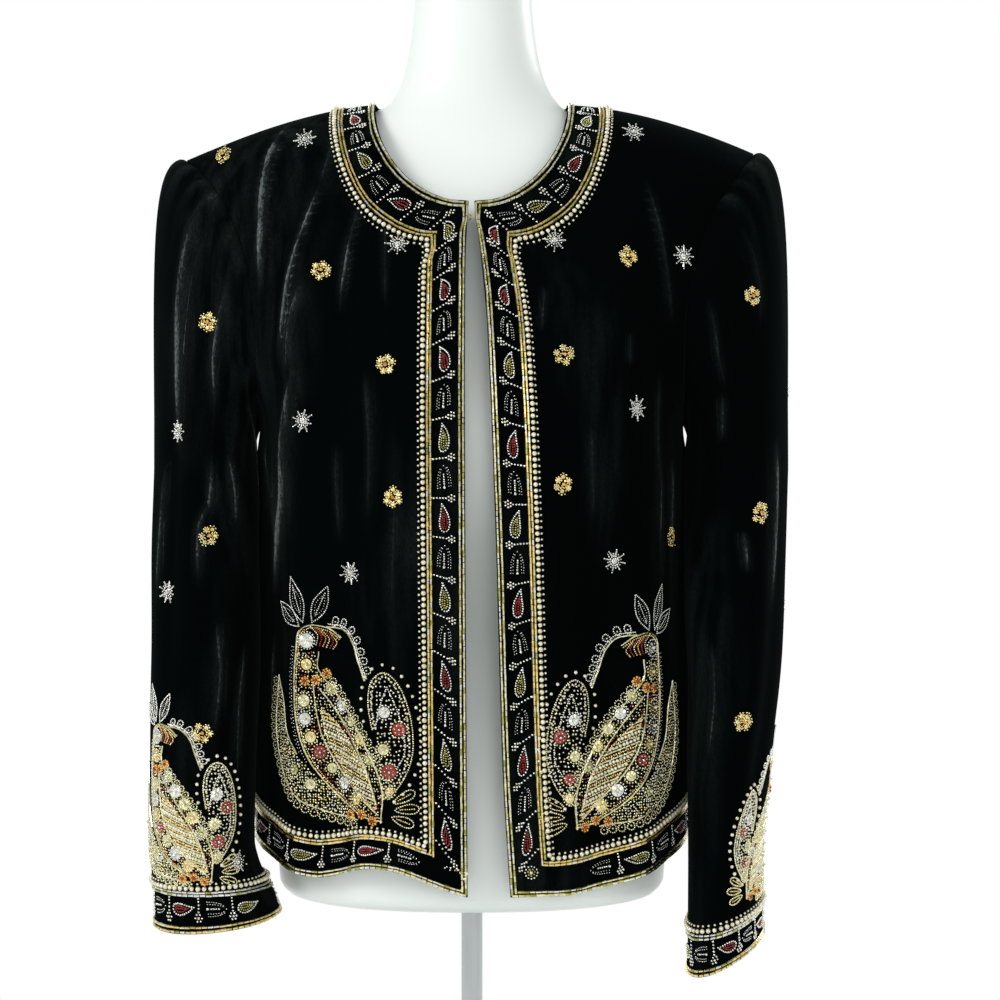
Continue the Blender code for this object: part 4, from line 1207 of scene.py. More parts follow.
def flower(motif):
    """Small gold flower: an uneven cluster of looped petals round an amber bead."""
    turns = 1.05 * np.arange(6) + RANDOM.normal(0.0, 0.10, 6)
    for turn, reach, loop in zip(turns, RANDOM.normal(4.3, 0.35, 6), RANDOM.normal(2.0, 0.20, 6)):
        centre = reach * np.array((math.cos(turn), math.sin(turn)))
        look = "gold" if RANDOM.random() < 0.8 else "straw"
        motif.dots(ring_points(centre, loop, 7, turn), "seed", look, 0.80)
        motif.dots([centre], "wheel", "gold", (1.5, 1.5, 1.1), sink=0.3)
    loose = RANDOM.normal(0.0, 2.4, (12, 2))
    motif.dots(loose[:7], "seed", "straw", 0.72, sink=1.5)
    motif.dots(loose[7:], "seed", "gold", 0.80, sink=1.6)
    motif.dots([(0.0, 0.0)], "jewel", "amber", (1.4, 1.4, 1.5), sink=1.2)


def rosette(motif):
    """Small silver rosette in the corner of the border."""
    motif.dots(ring_points((0.0, 0.0), 4.4, 12), "seed", "silver", 0.85)
    motif.dots(ring_points((0.0, 0.0), 2.4, 7, 0.2), "seed", "olive", 0.85)
    motif.dots([(0.0, 0.0)], "pearl", "pearl", 1.3)


def starburst(motif):
    """Silver star with long and short rays."""
    motif.dots([(0.0, 0.0)], "wheel", "silver", (2.3, 2.3, 1.3), sink=0.2)
    motif.dots([(0.0, 0.0)], "seed", "silver", 1.3, sink=1.2)
    motif.dots(ring_points((0.0, 0.0), 3.0, 12), "seed", "silver", 0.85)
    motif.dots(RANDOM.normal(0.0, 2.9, (10, 2)), "seed", "silver", 0.62)
    for k in range(16):
        angle = 2.0 * math.pi * k / 16 + 0.1
        way = np.array((math.cos(angle), math.sin(angle)))
        if k % 2 == 0:
            reach = RANDOM.uniform(0.86, 1.08)
            motif.dots([5.2 * reach * way], "bugle", "silver", (1.6, 0.65, 0.65), along=[way])
            motif.dots([7.4 * reach * way], "seed", "silver", 0.8)
        else:
            motif.dots([4.6 * way], "seed", "silver", 0.7)


def teardrop(motif, look, length):
    """Curled drop outlined in silver, filled with coloured seeds."""
    t = np.linspace(0.0, 2.0 * math.pi, 60, endpoint=False)
    along = np.cos(t)
    side = np.sin(t) * np.abs(np.sin(t / 2.0)) ** 1.2
    curl = 2.6 * ((along + 1.0) / 2.0) ** 3
    path = np.stack((0.5 * length * along, 4.7 * side + curl - 0.6), axis=-1)
    motif.row(path, "seed", "silver", 1.75, 0.85, closed=True)
    inner = np.stack((0.5 * length * (0.62 * along - 0.16), 2.5 * side + 0.5 * curl - 0.5), axis=-1)
    motif.row(inner, "seed", look, 1.6, 0.72, closed=True)
    motif.row([(-0.30 * length, -0.4), (0.06 * length, 0.0)], "seed", look, 1.6, 0.75)


def crossbar(motif):
    """Short row of silver beads across the border that ends in a rosette at the edge side."""
    motif.row([(0.8, 7.2), (-0.4, -1.6)], "seed", "silver", 2.1, 0.95)
    motif.dots(ring_points((-0.8, -5.2), 2.2, 6), "seed", "silver", 0.95)
    motif.dots([(-0.8, -5.2)], "seed", "pearl", 1.0, sink=1.0)


def sprig(motif, length):
    """Small feather: a short silver stem in a fringe of fine dots."""
    motif.row([(-0.30 * length, 0.0), (0.12 * length, 0.2)], "seed", "silver", 1.7, 0.85)
    motif.dots([(-0.34 * length, 0.0)], "seed", "silver", 1.15)
    for reach, count in ((3.0, 8), (4.6, 9)):
        t = np.linspace(-0.2, 1.0, count)
        for sign in (-1.0, 1.0):
            bend = reach * np.sqrt(np.clip(1.0 - np.clip(t, 0.0, 1.0) ** 2, 0.0, 1.0))
            points = np.stack(((t * 0.62 - 0.20) * length, sign * bend), axis=-1)
            motif.dots(points, "seed", "silver", 0.48)


EDGE_RAILS = (1.3, 3.9)
INNER_RAILS = (23.9, 26.2)
PEARL_LANE = 29.3
DOT_LANE = 32.4
BAND_MIDDLE = 0.0146
CORNER_ROOM = 0.013
END_ROOM = 0.003
RAIL_PITCH = 4.2
PEARL_PITCH = 4.3
SILVER_SHARE = 0.12
MIXED_SHARE = 0.30
MOST_CELLS = 200
DROP_LOOKS = ("red", "olive", "red", "red", "olive", "red", "olive")


def lane_places(patch, lane, pitch):
    """Places along a lane of a border, evenly spaced by the lane's own length on the cloth."""
    along = np.arange(1.0, patch.length / MILLIMETRE - 1.0, 0.5)
    points, _ = patch.at(np.stack((along, np.full_like(along, lane)), axis=-1) * MILLIMETRE)
    arc = arc_lengths(points) / MILLIMETRE
    count = max(2, round(arc[-1] / pitch))
    even = np.interp((np.arange(count) + 0.5) * arc[-1] / count, arc, along)
    return np.stack((even, np.full_like(even, lane)), axis=-1)


def border(beads, patch, cells, start=0.006, rail_looks=("straw", "gold"), corner=None):
    """Beaded border: rails, pearls and motifs cell by cell along a patch."""
    whole = Motif(beads, patch, (0.0, 0.0))
    for lanes, usual in ((EDGE_RAILS, rail_looks[0]), (INNER_RAILS, rail_looks[1])):
        for lane in lanes:
            points = lane_places(patch, lane, RAIL_PITCH)
            along = np.tile((1.0, 0.0), (len(points), 1))
            mixed = RANDOM.random(len(points))
            for look, chosen in ((usual, mixed > MIXED_SHARE), ("silver", mixed < SILVER_SHARE),
                                 ("olive", (mixed >= SILVER_SHARE) & (mixed <= MIXED_SHARE))):
                if chosen.any():
                    whole.dots(points[chosen], "bugle", look, (1.95, 0.95, 0.95), along[chosen], 0.9)
    whole.dots(lane_places(patch, PEARL_LANE, PEARL_PITCH), "pearl", "pearl", 1.7, sink=0.85)
    whole.dots(lane_places(patch, DOT_LANE, PEARL_PITCH), "seed", "pearl", 0.95)
    at = start
    for k in range(MOST_CELLS):
        cell = cells(at)
        if at + cell > patch.length - END_ROOM:
            break
        if corner is not None and at < corner + CORNER_ROOM and at + cell > corner - CORNER_ROOM:
            at = corner + CORNER_ROOM
            cell = cells(at)
        crossbar(Motif(beads, patch, (at, BAND_MIDDLE)))
        middle = Motif(beads, patch, (at + cell / 2.0, BAND_MIDDLE), turn=RANDOM.normal(0.0, 0.05))
        if k % 2:
            teardrop(middle, DROP_LOOKS[(k // 2) % len(DROP_LOOKS)], 0.70 * cell / MILLIMETRE)
        else:
            sprig(middle, 0.72 * cell / MILLIMETRE)
        at += cell


# Bird with a curled plume and a mango leaf, for the fronts and sleeves. Lengths along run to
# the middle of the jacket and lengths up from the motif's foot, in millimetres.
BACK_LINE = ((-36, 126), (-38, 102), (-36, 74), (-27, 47), (-8, 24), (16, 9), (33, 5))
INNER_LINE = ((-23, 100), (-21, 82), (-16, 62), (-4, 42), (14, 24), (30, 10))
BREAST_LINE = ((-19, 122), (-19, 110), (-5, 93), (12, 72), (27, 47), (34, 26), (33, 5))
LOWER_BREAST = ((-18, 96), (-6, 82), (9, 62), (22, 40), (29, 18))
HEAD_LINE = ((-36, 126), (-34, 137), (-25, 142), (-12, 140), (-2, 134))
PLUME_LINE = ((-12, 141), (2, 139), (11, 130), (16, 117), (21, 105))
WING_LINE = ((-17, 82), (-13, 62), (-1, 42), (14, 26), (29, 13), (25, 32), (13, 52), (-3, 70))
TAIL_OUTER = ((14, 5), (-14, 9), (-38, 20), (-54, 42), (-61, 70), (-58, 104))
TAIL_INNER = ((-58, 104), (-50, 86), (-46, 66), (-36, 50))
TAIL_ROOT = ((-36, 50), (-22, 35), (-2, 20))
MANGO_LINE = ((34, 20), (46, 30), (55, 50), (55, 74), (48, 98), (37, 110), (27, 104), (24, 88), (27, 70))
MANGO_VEINS = (((38, 34), (50, 54), (46, 80), (38, 100)), ((30, 74), (34, 90), (38, 100)))
CREST = (((-34, 141), (-56, 158)), ((-31, 144), (-43, 176)), ((-24, 144), (-12, 170)))
FOOT_LEAVES = (((42, 18), (57, 26)), ((43, 13), (60, 14)), ((41, 8), (56, 2)))
Wheel = namedtuple("Wheel", "along up radius look")
BIRD_WHEELS = table(Wheel, (
    (-28, 131, 5.4, "silver"),
    (-28, 114, 4.8, "gold"),
    (-30, 88, 5.0, "straw"),
    (-29, 75, 4.8, "silver"),
    (-25, 62, 4.6, "gold"),
    (-18, 51, 5.2, "red"),
    (-9, 40, 4.4, "straw"),
    (1, 30, 5.2, "silver"),
    (13, 19, 4.4, "gold"),
    (-10, 97, 4.2, "olive"),
    (-1, 85, 4.8, "silver"),
    (8, 74, 4.2, "straw"),
    (16, 62, 4.6, "gold"),
    (24, 48, 4.2, "olive"),
    (46, 70, 5.2, "red"),
    (39, 40, 5.2, "red"),
    (35, 56, 4.4, "straw"),
    (36, 82, 4.6, "silver"),
    (-47, 52, 4.4, "gold"),
    (-38, 38, 4.6, "olive"),
    (-25, 28, 4.2, "straw"),
    (39, 26, 3.8, "gold"),
))
NECK_LOOKS = ("straw", "red", "amber", "straw", "red", "gold")
WHEEL_SCALE = 1.16
AMBER_SPOTS = ((-29, 102), (-21, 103), (-13, 108), (18, 9), (27, 5), (8, 8))


def loops(motif, path, pitch, length, lean, look, width=4.6):
    """Scalloped leaf loops along the left hand of a path."""
    points, along = spaced(path, pitch)
    for point, way in zip(points, along):
        out = np.array((-way[1], way[0]))
        tip = point + length * unit(out + lean * way)
        motif.leaf(point + 0.8 * out, tip, width, look, pitch=1.6, seed=0.74)
        motif.dots([point * 0.45 + tip * 0.55], "seed", "pearl", 0.7)


def wing_bands(motif, outline):
    """Slanting rows of bugles, seeds and pearls across the wing."""
    slope = unit(np.array((1.0, -0.36)))
    across = np.array((-slope[1], slope[0]))
    kinds = ("bugle", "seed", "bugle", "pearl", "seed", "pearl")
    places = outline @ across
    for k, place in enumerate(np.arange(places.min() + 1.6, places.max(), 2.3)):
        t = np.arange(-70.0, 70.0, 0.25)
        line = place * across + t[:, None] * slope
        kept = line[inside(outline, line)]
        if len(kept) < 12:
            continue
        ends = np.array((kept[0] + 0.5 * slope, kept[-1] - 0.5 * slope))
        kind = kinds[k % len(kinds)]
        if kind == "bugle":
            motif.row(ends, "bugle", "straw", 3.4, (1.55, 0.75, 0.75), sink=0.9)
        elif kind == "pearl":
            motif.row(ends, "pearl", "pearl", 2.9, 1.2)
        else:
            motif.row(ends, "seed", "gold" if k % 4 else "straw", 1.8, 0.85)


def fill_seeds(motif, outline, pitch, looks, keep_clear, size=0.85):
    """Loose seeds inside an outline, clear of the wheels."""
    low, high = outline.min(axis=0), outline.max(axis=0)
    along, up = np.meshgrid(np.arange(low[0], high[0], pitch), np.arange(low[1], high[1], pitch))
    points = np.stack((along.ravel(), up.ravel()), axis=-1)
    points = points + RANDOM.uniform(-0.3, 0.3, points.shape) * pitch
    points = points[inside(outline, points)]
    for wheel in keep_clear:
        gap = np.linalg.norm(points - np.array((wheel.along, wheel.up)), axis=1)
        points = points[gap > wheel.radius + 0.9]
    pick = RANDOM.random(len(points))
    for k, look in enumerate(looks):
        chosen = (pick >= k / len(looks)) & (pick < (k + 1) / len(looks))
        if chosen.any():
            motif.dots(points[chosen], "seed", look, size)


def bird_lines(motif):
    """Outlines of the bird, its plume and its mango leaf."""
    for path in (BACK_LINE, INNER_LINE, BREAST_LINE, LOWER_BREAST, HEAD_LINE, TAIL_OUTER, TAIL_INNER):
        motif.row(through(path), "bugle", "straw", 2.4, (1.15, 0.66, 0.66), sink=0.9)
    motif.row(side_step(through(BACK_LINE), 1.9), "seed", "gold", 1.6, 0.68)
    motif.row(side_step(through(HEAD_LINE), -1.9), "seed", "gold", 1.6, 0.68)
    plume = through(PLUME_LINE)
    motif.row(plume, "bugle", "straw", 2.4, (1.15, 0.66, 0.66), sink=0.9)
    motif.row(side_step(plume, 2.0), "seed", "silver", 1.5, 0.74)
    mango = through(MANGO_LINE)
    motif.row(mango, "seed", "straw", 1.6, 0.80)
    motif.row(side_step(mango, 2.6), "seed", "pearl", 2.7, 0.85)
    for vein in MANGO_VEINS:
        motif.row(through(vein), "seed", "silver", 1.7, 0.75)
    motif.row(side_step(mango, -5.6)[6:108], "pearl", "pearl", 8.2, 1.25)
    motif.row(side_step(through(BACK_LINE), -2.6)[:44], "seed", "silver", 2.2, 0.55)
    motif.row(side_step(through(BACK_LINE), -4.4)[:40], "seed", "silver", 3.1, 0.45)


def bird(motif):
    """Traditional bird of the beadwork, of an arrangement of its own."""
    bird_lines(motif)
    for base, tip in CREST:
        base, tip = np.array(base, float), np.array(tip, float)
        motif.leaf(base, tip, 11.0, "silver", "silver", pitch=1.5, seed=0.74, pointed=True)
        motif.leaf(base * 0.82 + tip * 0.18, base * 0.22 + tip * 0.78, 6.2, "silver", pitch=1.9, seed=0.45,
                   pointed=True)
    for k in range(len(NECK_LOOKS)):
        arc = through(((-25 + 3.0 * k, 141 - k), (-20 + 3.0 * k, 135 - k), (-21 + 2.6 * k, 128 - 0.5 * k)))
        motif.row(arc, "seed", NECK_LOOKS[k], 1.5, 0.70)
    loops(motif, through(PLUME_LINE)[4:50], 7.0, 8.0, 0.35, "silver")
    loops(motif, through(BREAST_LINE)[18:72], 6.6, 6.6, 0.5, "straw")
    loops(motif, through(TAIL_OUTER)[2:70], 6.6, 6.6, -0.4, "straw", 5.2)
    wing = through(WING_LINE + WING_LINE[:1])[:-1]
    wing_bands(motif, wing)
    motif.row(wing, "seed", "gold", 1.6, 0.75, closed=True)
    for wheel in BIRD_WHEELS:
        heart = "silver" if wheel.look == "red" else "pearl"
        rim = "silver" if wheel.look in ("silver", "olive") else "straw"
        motif.wheel((wheel.along, wheel.up), WHEEL_SCALE * wheel.radius, wheel.look, rim, heart)
    for spot in AMBER_SPOTS:
        motif.dots(ring_points(spot, 2.8, 8), "seed", "amber", 1.1)
        motif.dots(ring_points(spot, 1.4, 5), "seed", "gold", 0.8, sink=1.2)
        motif.dots([spot], "jewel", "red", (1.4, 1.4, 1.6), sink=1.2)
    tail = np.concatenate([through(path) for path in (TAIL_OUTER, TAIL_INNER, TAIL_ROOT)])
    fill_seeds(motif, tail, 2.0, ("straw", "olive", "silver", "straw", "silver", "gold"), BIRD_WHEELS)
    fill_seeds(motif, through(MANGO_LINE), 3.2, ("silver", "pearl", "straw"), BIRD_WHEELS)
    body = np.concatenate((through(BACK_LINE), through(BREAST_LINE)[::-1]))
    free = body[~inside(wing, body)]
    fill_seeds(motif, free, 2.3, ("straw", "straw", "silver", "red", "olive"), BIRD_WHEELS, 0.75)
    for base, tip in FOOT_LEAVES:
        motif.leaf(base, tip, 6.4, "straw", "gold", pitch=1.6, seed=0.78)


# Materials
TONE_STOPS = (0.30, 0.70)
BLACK = (0.0, 0.0, 0.0)
WHITE = (1.0, 1.0, 1.0)


def even_tone(value):
    return (value, value, value)


def new_material(name, roughness, metallic=0.0):
    material = bpy.data.materials.new(name)
    material.use_nodes = True
    shader = material.node_tree.nodes["Principled BSDF"]
    shader.inputs["Roughness"].default_value = roughness
    shader.inputs["Metallic"].default_value = metallic
    return material, material.node_tree, shader


def noise_node(tree, scale, stretch=(1.0, 1.0, 1.0), detail=3.0):
    """Noise in the part's own lengths, drawn out by a stretch."""
    place = tree.nodes.new("ShaderNodeTexCoord")
    mapping = tree.nodes.new("ShaderNodeMapping")
    mapping.inputs["Scale"].default_value = stretch
    noise = tree.nodes.new("ShaderNodeTexNoise")
    noise.inputs["Scale"].default_value = scale
    noise.inputs["Detail"].default_value = detail
    tree.links.new(place.outputs["Object"], mapping.inputs["Vector"])
    tree.links.new(mapping.outputs["Vector"], noise.inputs["Vector"])
    return noise.outputs["Fac"]


def ramp_node(tree, factor, stops):
    ramp = tree.nodes.new("ShaderNodeValToRGB")
    tree.links.new(factor, ramp.inputs["Fac"])
    while len(ramp.color_ramp.elements) < len(stops):
        ramp.color_ramp.elements.new(0.5)
    for element, (place, colour) in zip(ramp.color_ramp.elements, stops):
        element.position = place
        element.color = (*colour, 1.0)
    return ramp.outputs["Color"]


def mark_node(tree, name):
    """Mark of the creases, read from the cloth's points."""
    node = tree.nodes.new("ShaderNodeAttribute")
    node.attribute_name = name
    return node.outputs["Fac"]


def math_node(tree, operation, first, second, clamp=True):
    node = tree.nodes.new("ShaderNodeMath")
    node.operation = operation
    node.use_clamp = clamp
    for socket, value in zip(node.inputs, (first, second)):
        if isinstance(value, float):
            socket.default_value = value
        else:
            tree.links.new(value, socket)
    return node.outputs["Value"]


def bump_node(tree, shader, height, strength, distance):
    bump = tree.nodes.new("ShaderNodeBump")
    bump.inputs["Strength"].default_value = strength
    bump.inputs["Distance"].default_value = distance
    tree.links.new(height, bump.inputs["Height"])
    tree.links.new(bump.outputs["Normal"], shader.inputs["Normal"])


def velvet_material():
    """Black silk velvet with painted sheen: its colour is greyer along the creases, on the gathers and in
    loose patches.
    """
    material, tree, shader = new_material("black_velvet", 1.0)
    shader.inputs["Specular IOR Level"].default_value = 0.0
    shader.inputs["Sheen Weight"].default_value = 0.022
    shader.inputs["Sheen Roughness"].default_value = 0.40
    shader.inputs["Sheen Tint"].default_value = (0.62, 0.72, 0.69, 1.0)
    soft, line, beside = (mark_node(tree, name) for name in MARKS)
    streak = ramp_node(tree, noise_node(tree, 85.0, (1.0, 1.0, 0.10), 6.0), (
        (0.38, BLACK), (0.62, WHITE)))
    grain = ramp_node(tree, noise_node(tree, 700.0, (1.0, 1.0, 0.5), 4.0), (
        (0.34, even_tone(0.45)), (0.66, WHITE)))
    cloud = ramp_node(tree, noise_node(tree, 11.0, (1.0, 1.0, 0.35), 3.0), (
        (0.48, BLACK), (0.72, WHITE)))
    # Painted sheen along each crease: a bright band just beside its line, dark further off, broken by the
    # streaks.
    place = math_node(tree, "ADD", math_node(tree, "MULTIPLY", beside, 0.5, False), 0.5)
    profile = ramp_node(tree, place, (
        (0.10, BLACK), (0.34, even_tone(0.45)), (0.46, even_tone(0.95)), (0.53, WHITE), (0.60, BLACK)))
    sheen_line = math_node(tree, "MULTIPLY", math_node(tree, "MULTIPLY", line, profile),
                      math_node(tree, "ADD", math_node(tree, "MULTIPLY", streak, 0.6), 0.35))
    # Wider painted sheen round the creases and over the gathers.
    wide = math_node(tree, "MULTIPLY", math_node(tree, "MULTIPLY", soft, 0.42),
                     math_node(tree, "ADD", streak, 0.40))
    # Loose patches of painted sheen.
    sheen_patches = math_node(tree, "MULTIPLY", math_node(tree, "MULTIPLY", cloud, streak), 0.26)
    painted_sheen = math_node(tree, "ADD", math_node(tree, "ADD", sheen_line, wide), sheen_patches)
    factor = math_node(tree, "MULTIPLY", painted_sheen, grain)
    # Painted sheen: the colour runs from near black up to a pale grey-green where the marks are strongest.
    colour = ramp_node(tree, factor, (
        (0.0, (0.0010, 0.0017, 0.0017)), (0.30, (0.0100, 0.0136, 0.0130)), (1.0, (0.135, 0.155, 0.150))))
    tree.links.new(colour, shader.inputs["Base Color"])
    pile = noise_node(tree, 1900.0, (1.0, 1.0, 0.45), 2.0)
    bump_node(tree, shader, pile, 0.35, 0.0006)
    return material


def two_tone_material(name, roughness, metallic, tone, colours, grain, strength, depth):
    """Surface that varies between two colours and has a fine grain. Tone and grain are noises."""
    material, tree, shader = new_material(name, roughness, metallic)
    colour = ramp_node(tree, noise_node(tree, **tone), tuple(zip(TONE_STOPS, colours)))
    tree.links.new(colour, shader.inputs["Base Color"])
    bump_node(tree, shader, noise_node(tree, **grain), strength, depth)
    return material, shader


def bead_material(name, look):
    """Glass or metal bead, whose colour varies from bead to bead."""
    material, shader = two_tone_material(
        name, look.roughness, look.metallic, {"scale": 330.0, "detail": 1.0}, (look.dark, look.pale),
        {"scale": 1500.0, "detail": 2.0}, 0.20, 0.0003)
    shader.inputs["Coat Weight"].default_value = look.coat
    shader.inputs["Coat Roughness"].default_value = 0.08
    return material


def stand_materials():
    """Satin white of the form and satin grey of its pole and base."""
    white, _ = two_tone_material(
        "form_white", 0.36, 0.0, {"scale": 6.0, "detail": 2.0}, ((0.80, 0.845, 0.82), (0.86, 0.885, 0.87)),
        {"scale": 420.0, "detail": 2.0}, 0.05, 0.0004)
    grey, _ = two_tone_material(
        "stand_grey", 0.34, 0.55, {"scale": 40.0, "stretch": (1.0, 1.0, 0.1)},
        ((0.46, 0.48, 0.49), (0.58, 0.60, 0.61)), {"scale": 900.0}, 0.08, 0.0003)
    return white, grey


# Dress form
FORM_STEP = 0.008
NECK_START = 0.52
NECK_BLEND = 0.08


def fine_form():
    """Smooth torso and neck through the rings of the solid."""
    knots = np.array([ring.height for ring in FORM_RINGS])
    heights = []
    for low, high in zip(knots, knots[1:]):
        heights += list(np.linspace(low, high, max(2, round((high - low) / FORM_STEP)), endpoint=False))
    heights.append(knots[-1])
    heights = np.array(heights)
    angle = 2.0 * math.pi * np.arange(FORM_POINTS) / FORM_POINTS
    power = FORM_POWER + (FORM_NECK_POWER - FORM_POWER) * ease((heights - NECK_START) / NECK_BLEND)
    cosine, sine = np.cos(angle)[None, :], np.sin(angle)[None, :]
    bend = (2.0 / power)[:, None]
    size = {name: table_value(FORM_RINGS, name, heights)[:, None] for name in FormRing._fields[1:]}
    depth = np.where(sine > 0.0, size["back_depth"], size["front_depth"])
    x = np.sign(cosine) * np.abs(cosine) ** bend * size["half_width"]
    y = np.sign(sine) * np.abs(sine) ** bend * depth
    z = np.broadcast_to(heights[:, None] + STAND_HEIGHT, x.shape)
    points = np.stack((x, y, z), axis=-1)
    quads, _ = wall_faces(*points.shape[:2], True)
    faces = quads.tolist()
    last = (len(heights) - 1) * FORM_POINTS
    faces += [list(range(FORM_POINTS))[::-1], list(range(last, last + FORM_POINTS))]
    mesh = bpy.data.meshes.new("form_body")
    mesh.from_pydata(points.reshape(-1, 3).tolist(), [], faces)
    return smooth_piece("form_body", mesh)


# Jacket
# Spots are placed by the distance from the middle, or on a sleeve by the degrees from its outer side.
Spot = namedtuple("Spot", "across height kind")
LEFT_SPOTS = table(Spot, (
    (0.183, 0.552, "flower"), (0.121, 0.560, "star"), (0.105, 0.459, "flower"),
    (0.051, 0.478, "star"), (0.058, 0.391, "flower"), (0.118, 0.353, "star"),
    (0.053, 0.299, "flower"), (0.084, 0.246, "star"),
))
RIGHT_SPOTS = table(Spot, (
    (0.119, 0.566, "star"), (0.112, 0.470, "flower"), (0.153, 0.472, "star"),
    (0.060, 0.481, "star"), (0.066, 0.398, "flower"), (0.118, 0.362, "star"),
    (0.065, 0.308, "flower"), (0.146, 0.270, "flower"), (0.102, 0.254, "star"),
))
LEFT_SLEEVE_SPOTS = table(Spot, (
    (-88.0, 0.425, "flower"), (-48.0, 0.347, "star"), (-90.0, 0.272, "flower"),
    (-40.0, 0.232, "star"), (-88.0, 0.133, "flower"), (-132.0, 0.040, "star"),
    (40.0, 0.400, "flower"), (70.0, 0.300, "star"), (30.0, 0.200, "flower"),
))
RIGHT_SLEEVE_SPOTS = table(Spot, (
    (-62.0, 0.445, "flower"), (-54.0, 0.288, "flower"), (-66.0, 0.140, "flower"),
    (20.0, 0.380, "star"), (60.0, 0.300, "flower"), (25.0, 0.220, "star"),
))
BirdPlace = namedtuple("BirdPlace", "across foot scale")
BIRD_PLACES = {
    "front_left": BirdPlace(0.090, 0.066, 1.0),
    "front_right": BirdPlace(0.106, 0.060, 1.0),
    "sleeve_left": BirdPlace(-62.0, 0.024, 0.80),
    "sleeve_right": BirdPlace(-4.0, 0.010, 0.72),
}
SPOT_KINDS = {"flower": flower, "star": starburst}
SPOT_SCALE = 1.12
SPOT_REACH = 0.016
SPOT_TOP = 0.020
BIRD_REACH = 0.075
BIRD_BOTTOM = 0.020
BIRD_TOP = 0.200
ROSETTE_REACH = 0.010
ROSETTE_BOTTOM = 0.012
ROSETTE_TOP = 0.016
ROSETTE_RISE = 0.003
LONG_CELL = 0.0280
SHORT_CELL = 0.0225
CUFF_CELLS = 11
CUFF_CELL_GAP = 0.0004
CUFF_START = 0.004
LENGTHEN_START = 0.16
LENGTHEN_SPAN = 0.20


def cell_length(patch):
    """Cells get longer from the neck down, as in the hand-laid border."""
    def length(at):
        from_neck = patch.length - at
        longer = float(ease((from_neck - LENGTHEN_START) / LENGTHEN_SPAN))
        return SHORT_CELL + (LONG_CELL - SHORT_CELL) * longer
    return length


def sew_motifs(beads, patch_on, spots, place):
    """Spots and bird of a piece, each on its own patch of cloth."""
    for spot in spots:
        patch = patch_on(spot.across, spot.height - SPOT_REACH, spot.height + SPOT_TOP, SPOT_REACH)
        turn = RANDOM.uniform(0.0, 1.0)
        SPOT_KINDS[spot.kind](Motif(beads, patch, (0.0, spot.height), turn, SPOT_SCALE))
    patch = patch_on(place.across, place.foot - BIRD_BOTTOM, place.foot + BIRD_TOP, BIRD_REACH)
    bird(Motif(beads, patch, (0.0, place.foot), scale=place.scale))


def dress_front(node, side, shell, spots, materials):
    """Beadwork of a front: border, spots and bird."""
    tree = surface_tree(shell)
    beads = Beadwork("beads_" + node)
    edge = front_border(side, tree)
    border(beads, edge, cell_length(edge), corner=edge.corner)
    corner_x, corner_height = opening_edge(FRONT, side, 0.0)
    corner_x, corner_height = corner_x + BAND_MIDDLE, corner_height + BAND_MIDDLE + ROSETTE_RISE
    patch = front_patch(tree, side, corner_x, corner_height - ROSETTE_BOTTOM, corner_height + ROSETTE_TOP,
                        ROSETTE_REACH)
    rosette(Motif(beads, patch, (0.0, corner_height)))
    sew_motifs(beads, partial(front_patch, tree, side), spots, BIRD_PLACES[node])
    return beads.build(materials)


def dress_sleeve(node, side, shell, sections, spots, materials):
    """Beadwork of a sleeve: cuff border, spots and bird."""
    tree = surface_tree(shell, round_tube=True)
    beads = Beadwork("beads_" + node)
    edge = cuff_border(side, sections, tree)
    border(beads, edge, lambda at: edge.length / CUFF_CELLS - CUFF_CELL_GAP, CUFF_START, ("gold", "silver"))
    sew_motifs(beads, partial(sleeve_patch, tree, side, sections), spots, BIRD_PLACES[node])
    return beads.build(materials)


def dress_back(node, left, right, materials):
    """Beadwork of the back: hem border and the border round the neck."""
    tree = surface_tree(left, right)
    beads = Beadwork("beads_" + node)
    border(beads, back_hem_border(tree), lambda at: LONG_CELL)
    border(beads, back_neck_border(tree), lambda at: SHORT_CELL)
    return beads.build(materials)


def cut_area(shells, round_tube=False):
    """Area of the outer skin."""
    total = 0.0
    for shell in shells:
        quads, _ = wall_faces(*shell.outer.shape[:2], round_tube)
        corner = shell.outer.reshape(-1, 3)[quads]
        cross = np.cross(corner[:, 2] - corner[:, 0], corner[:, 3] - corner[:, 1])
        total += 0.5 * float(np.linalg.norm(cross, axis=1).sum())
    return total


def paint(piece, material):
    piece.data.materials.clear()
    piece.data.materials.append(material)


def finish_piece(piece, material=None):
    if material is not None:
        paint(piece, material)
    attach(piece, "root")
    return piece


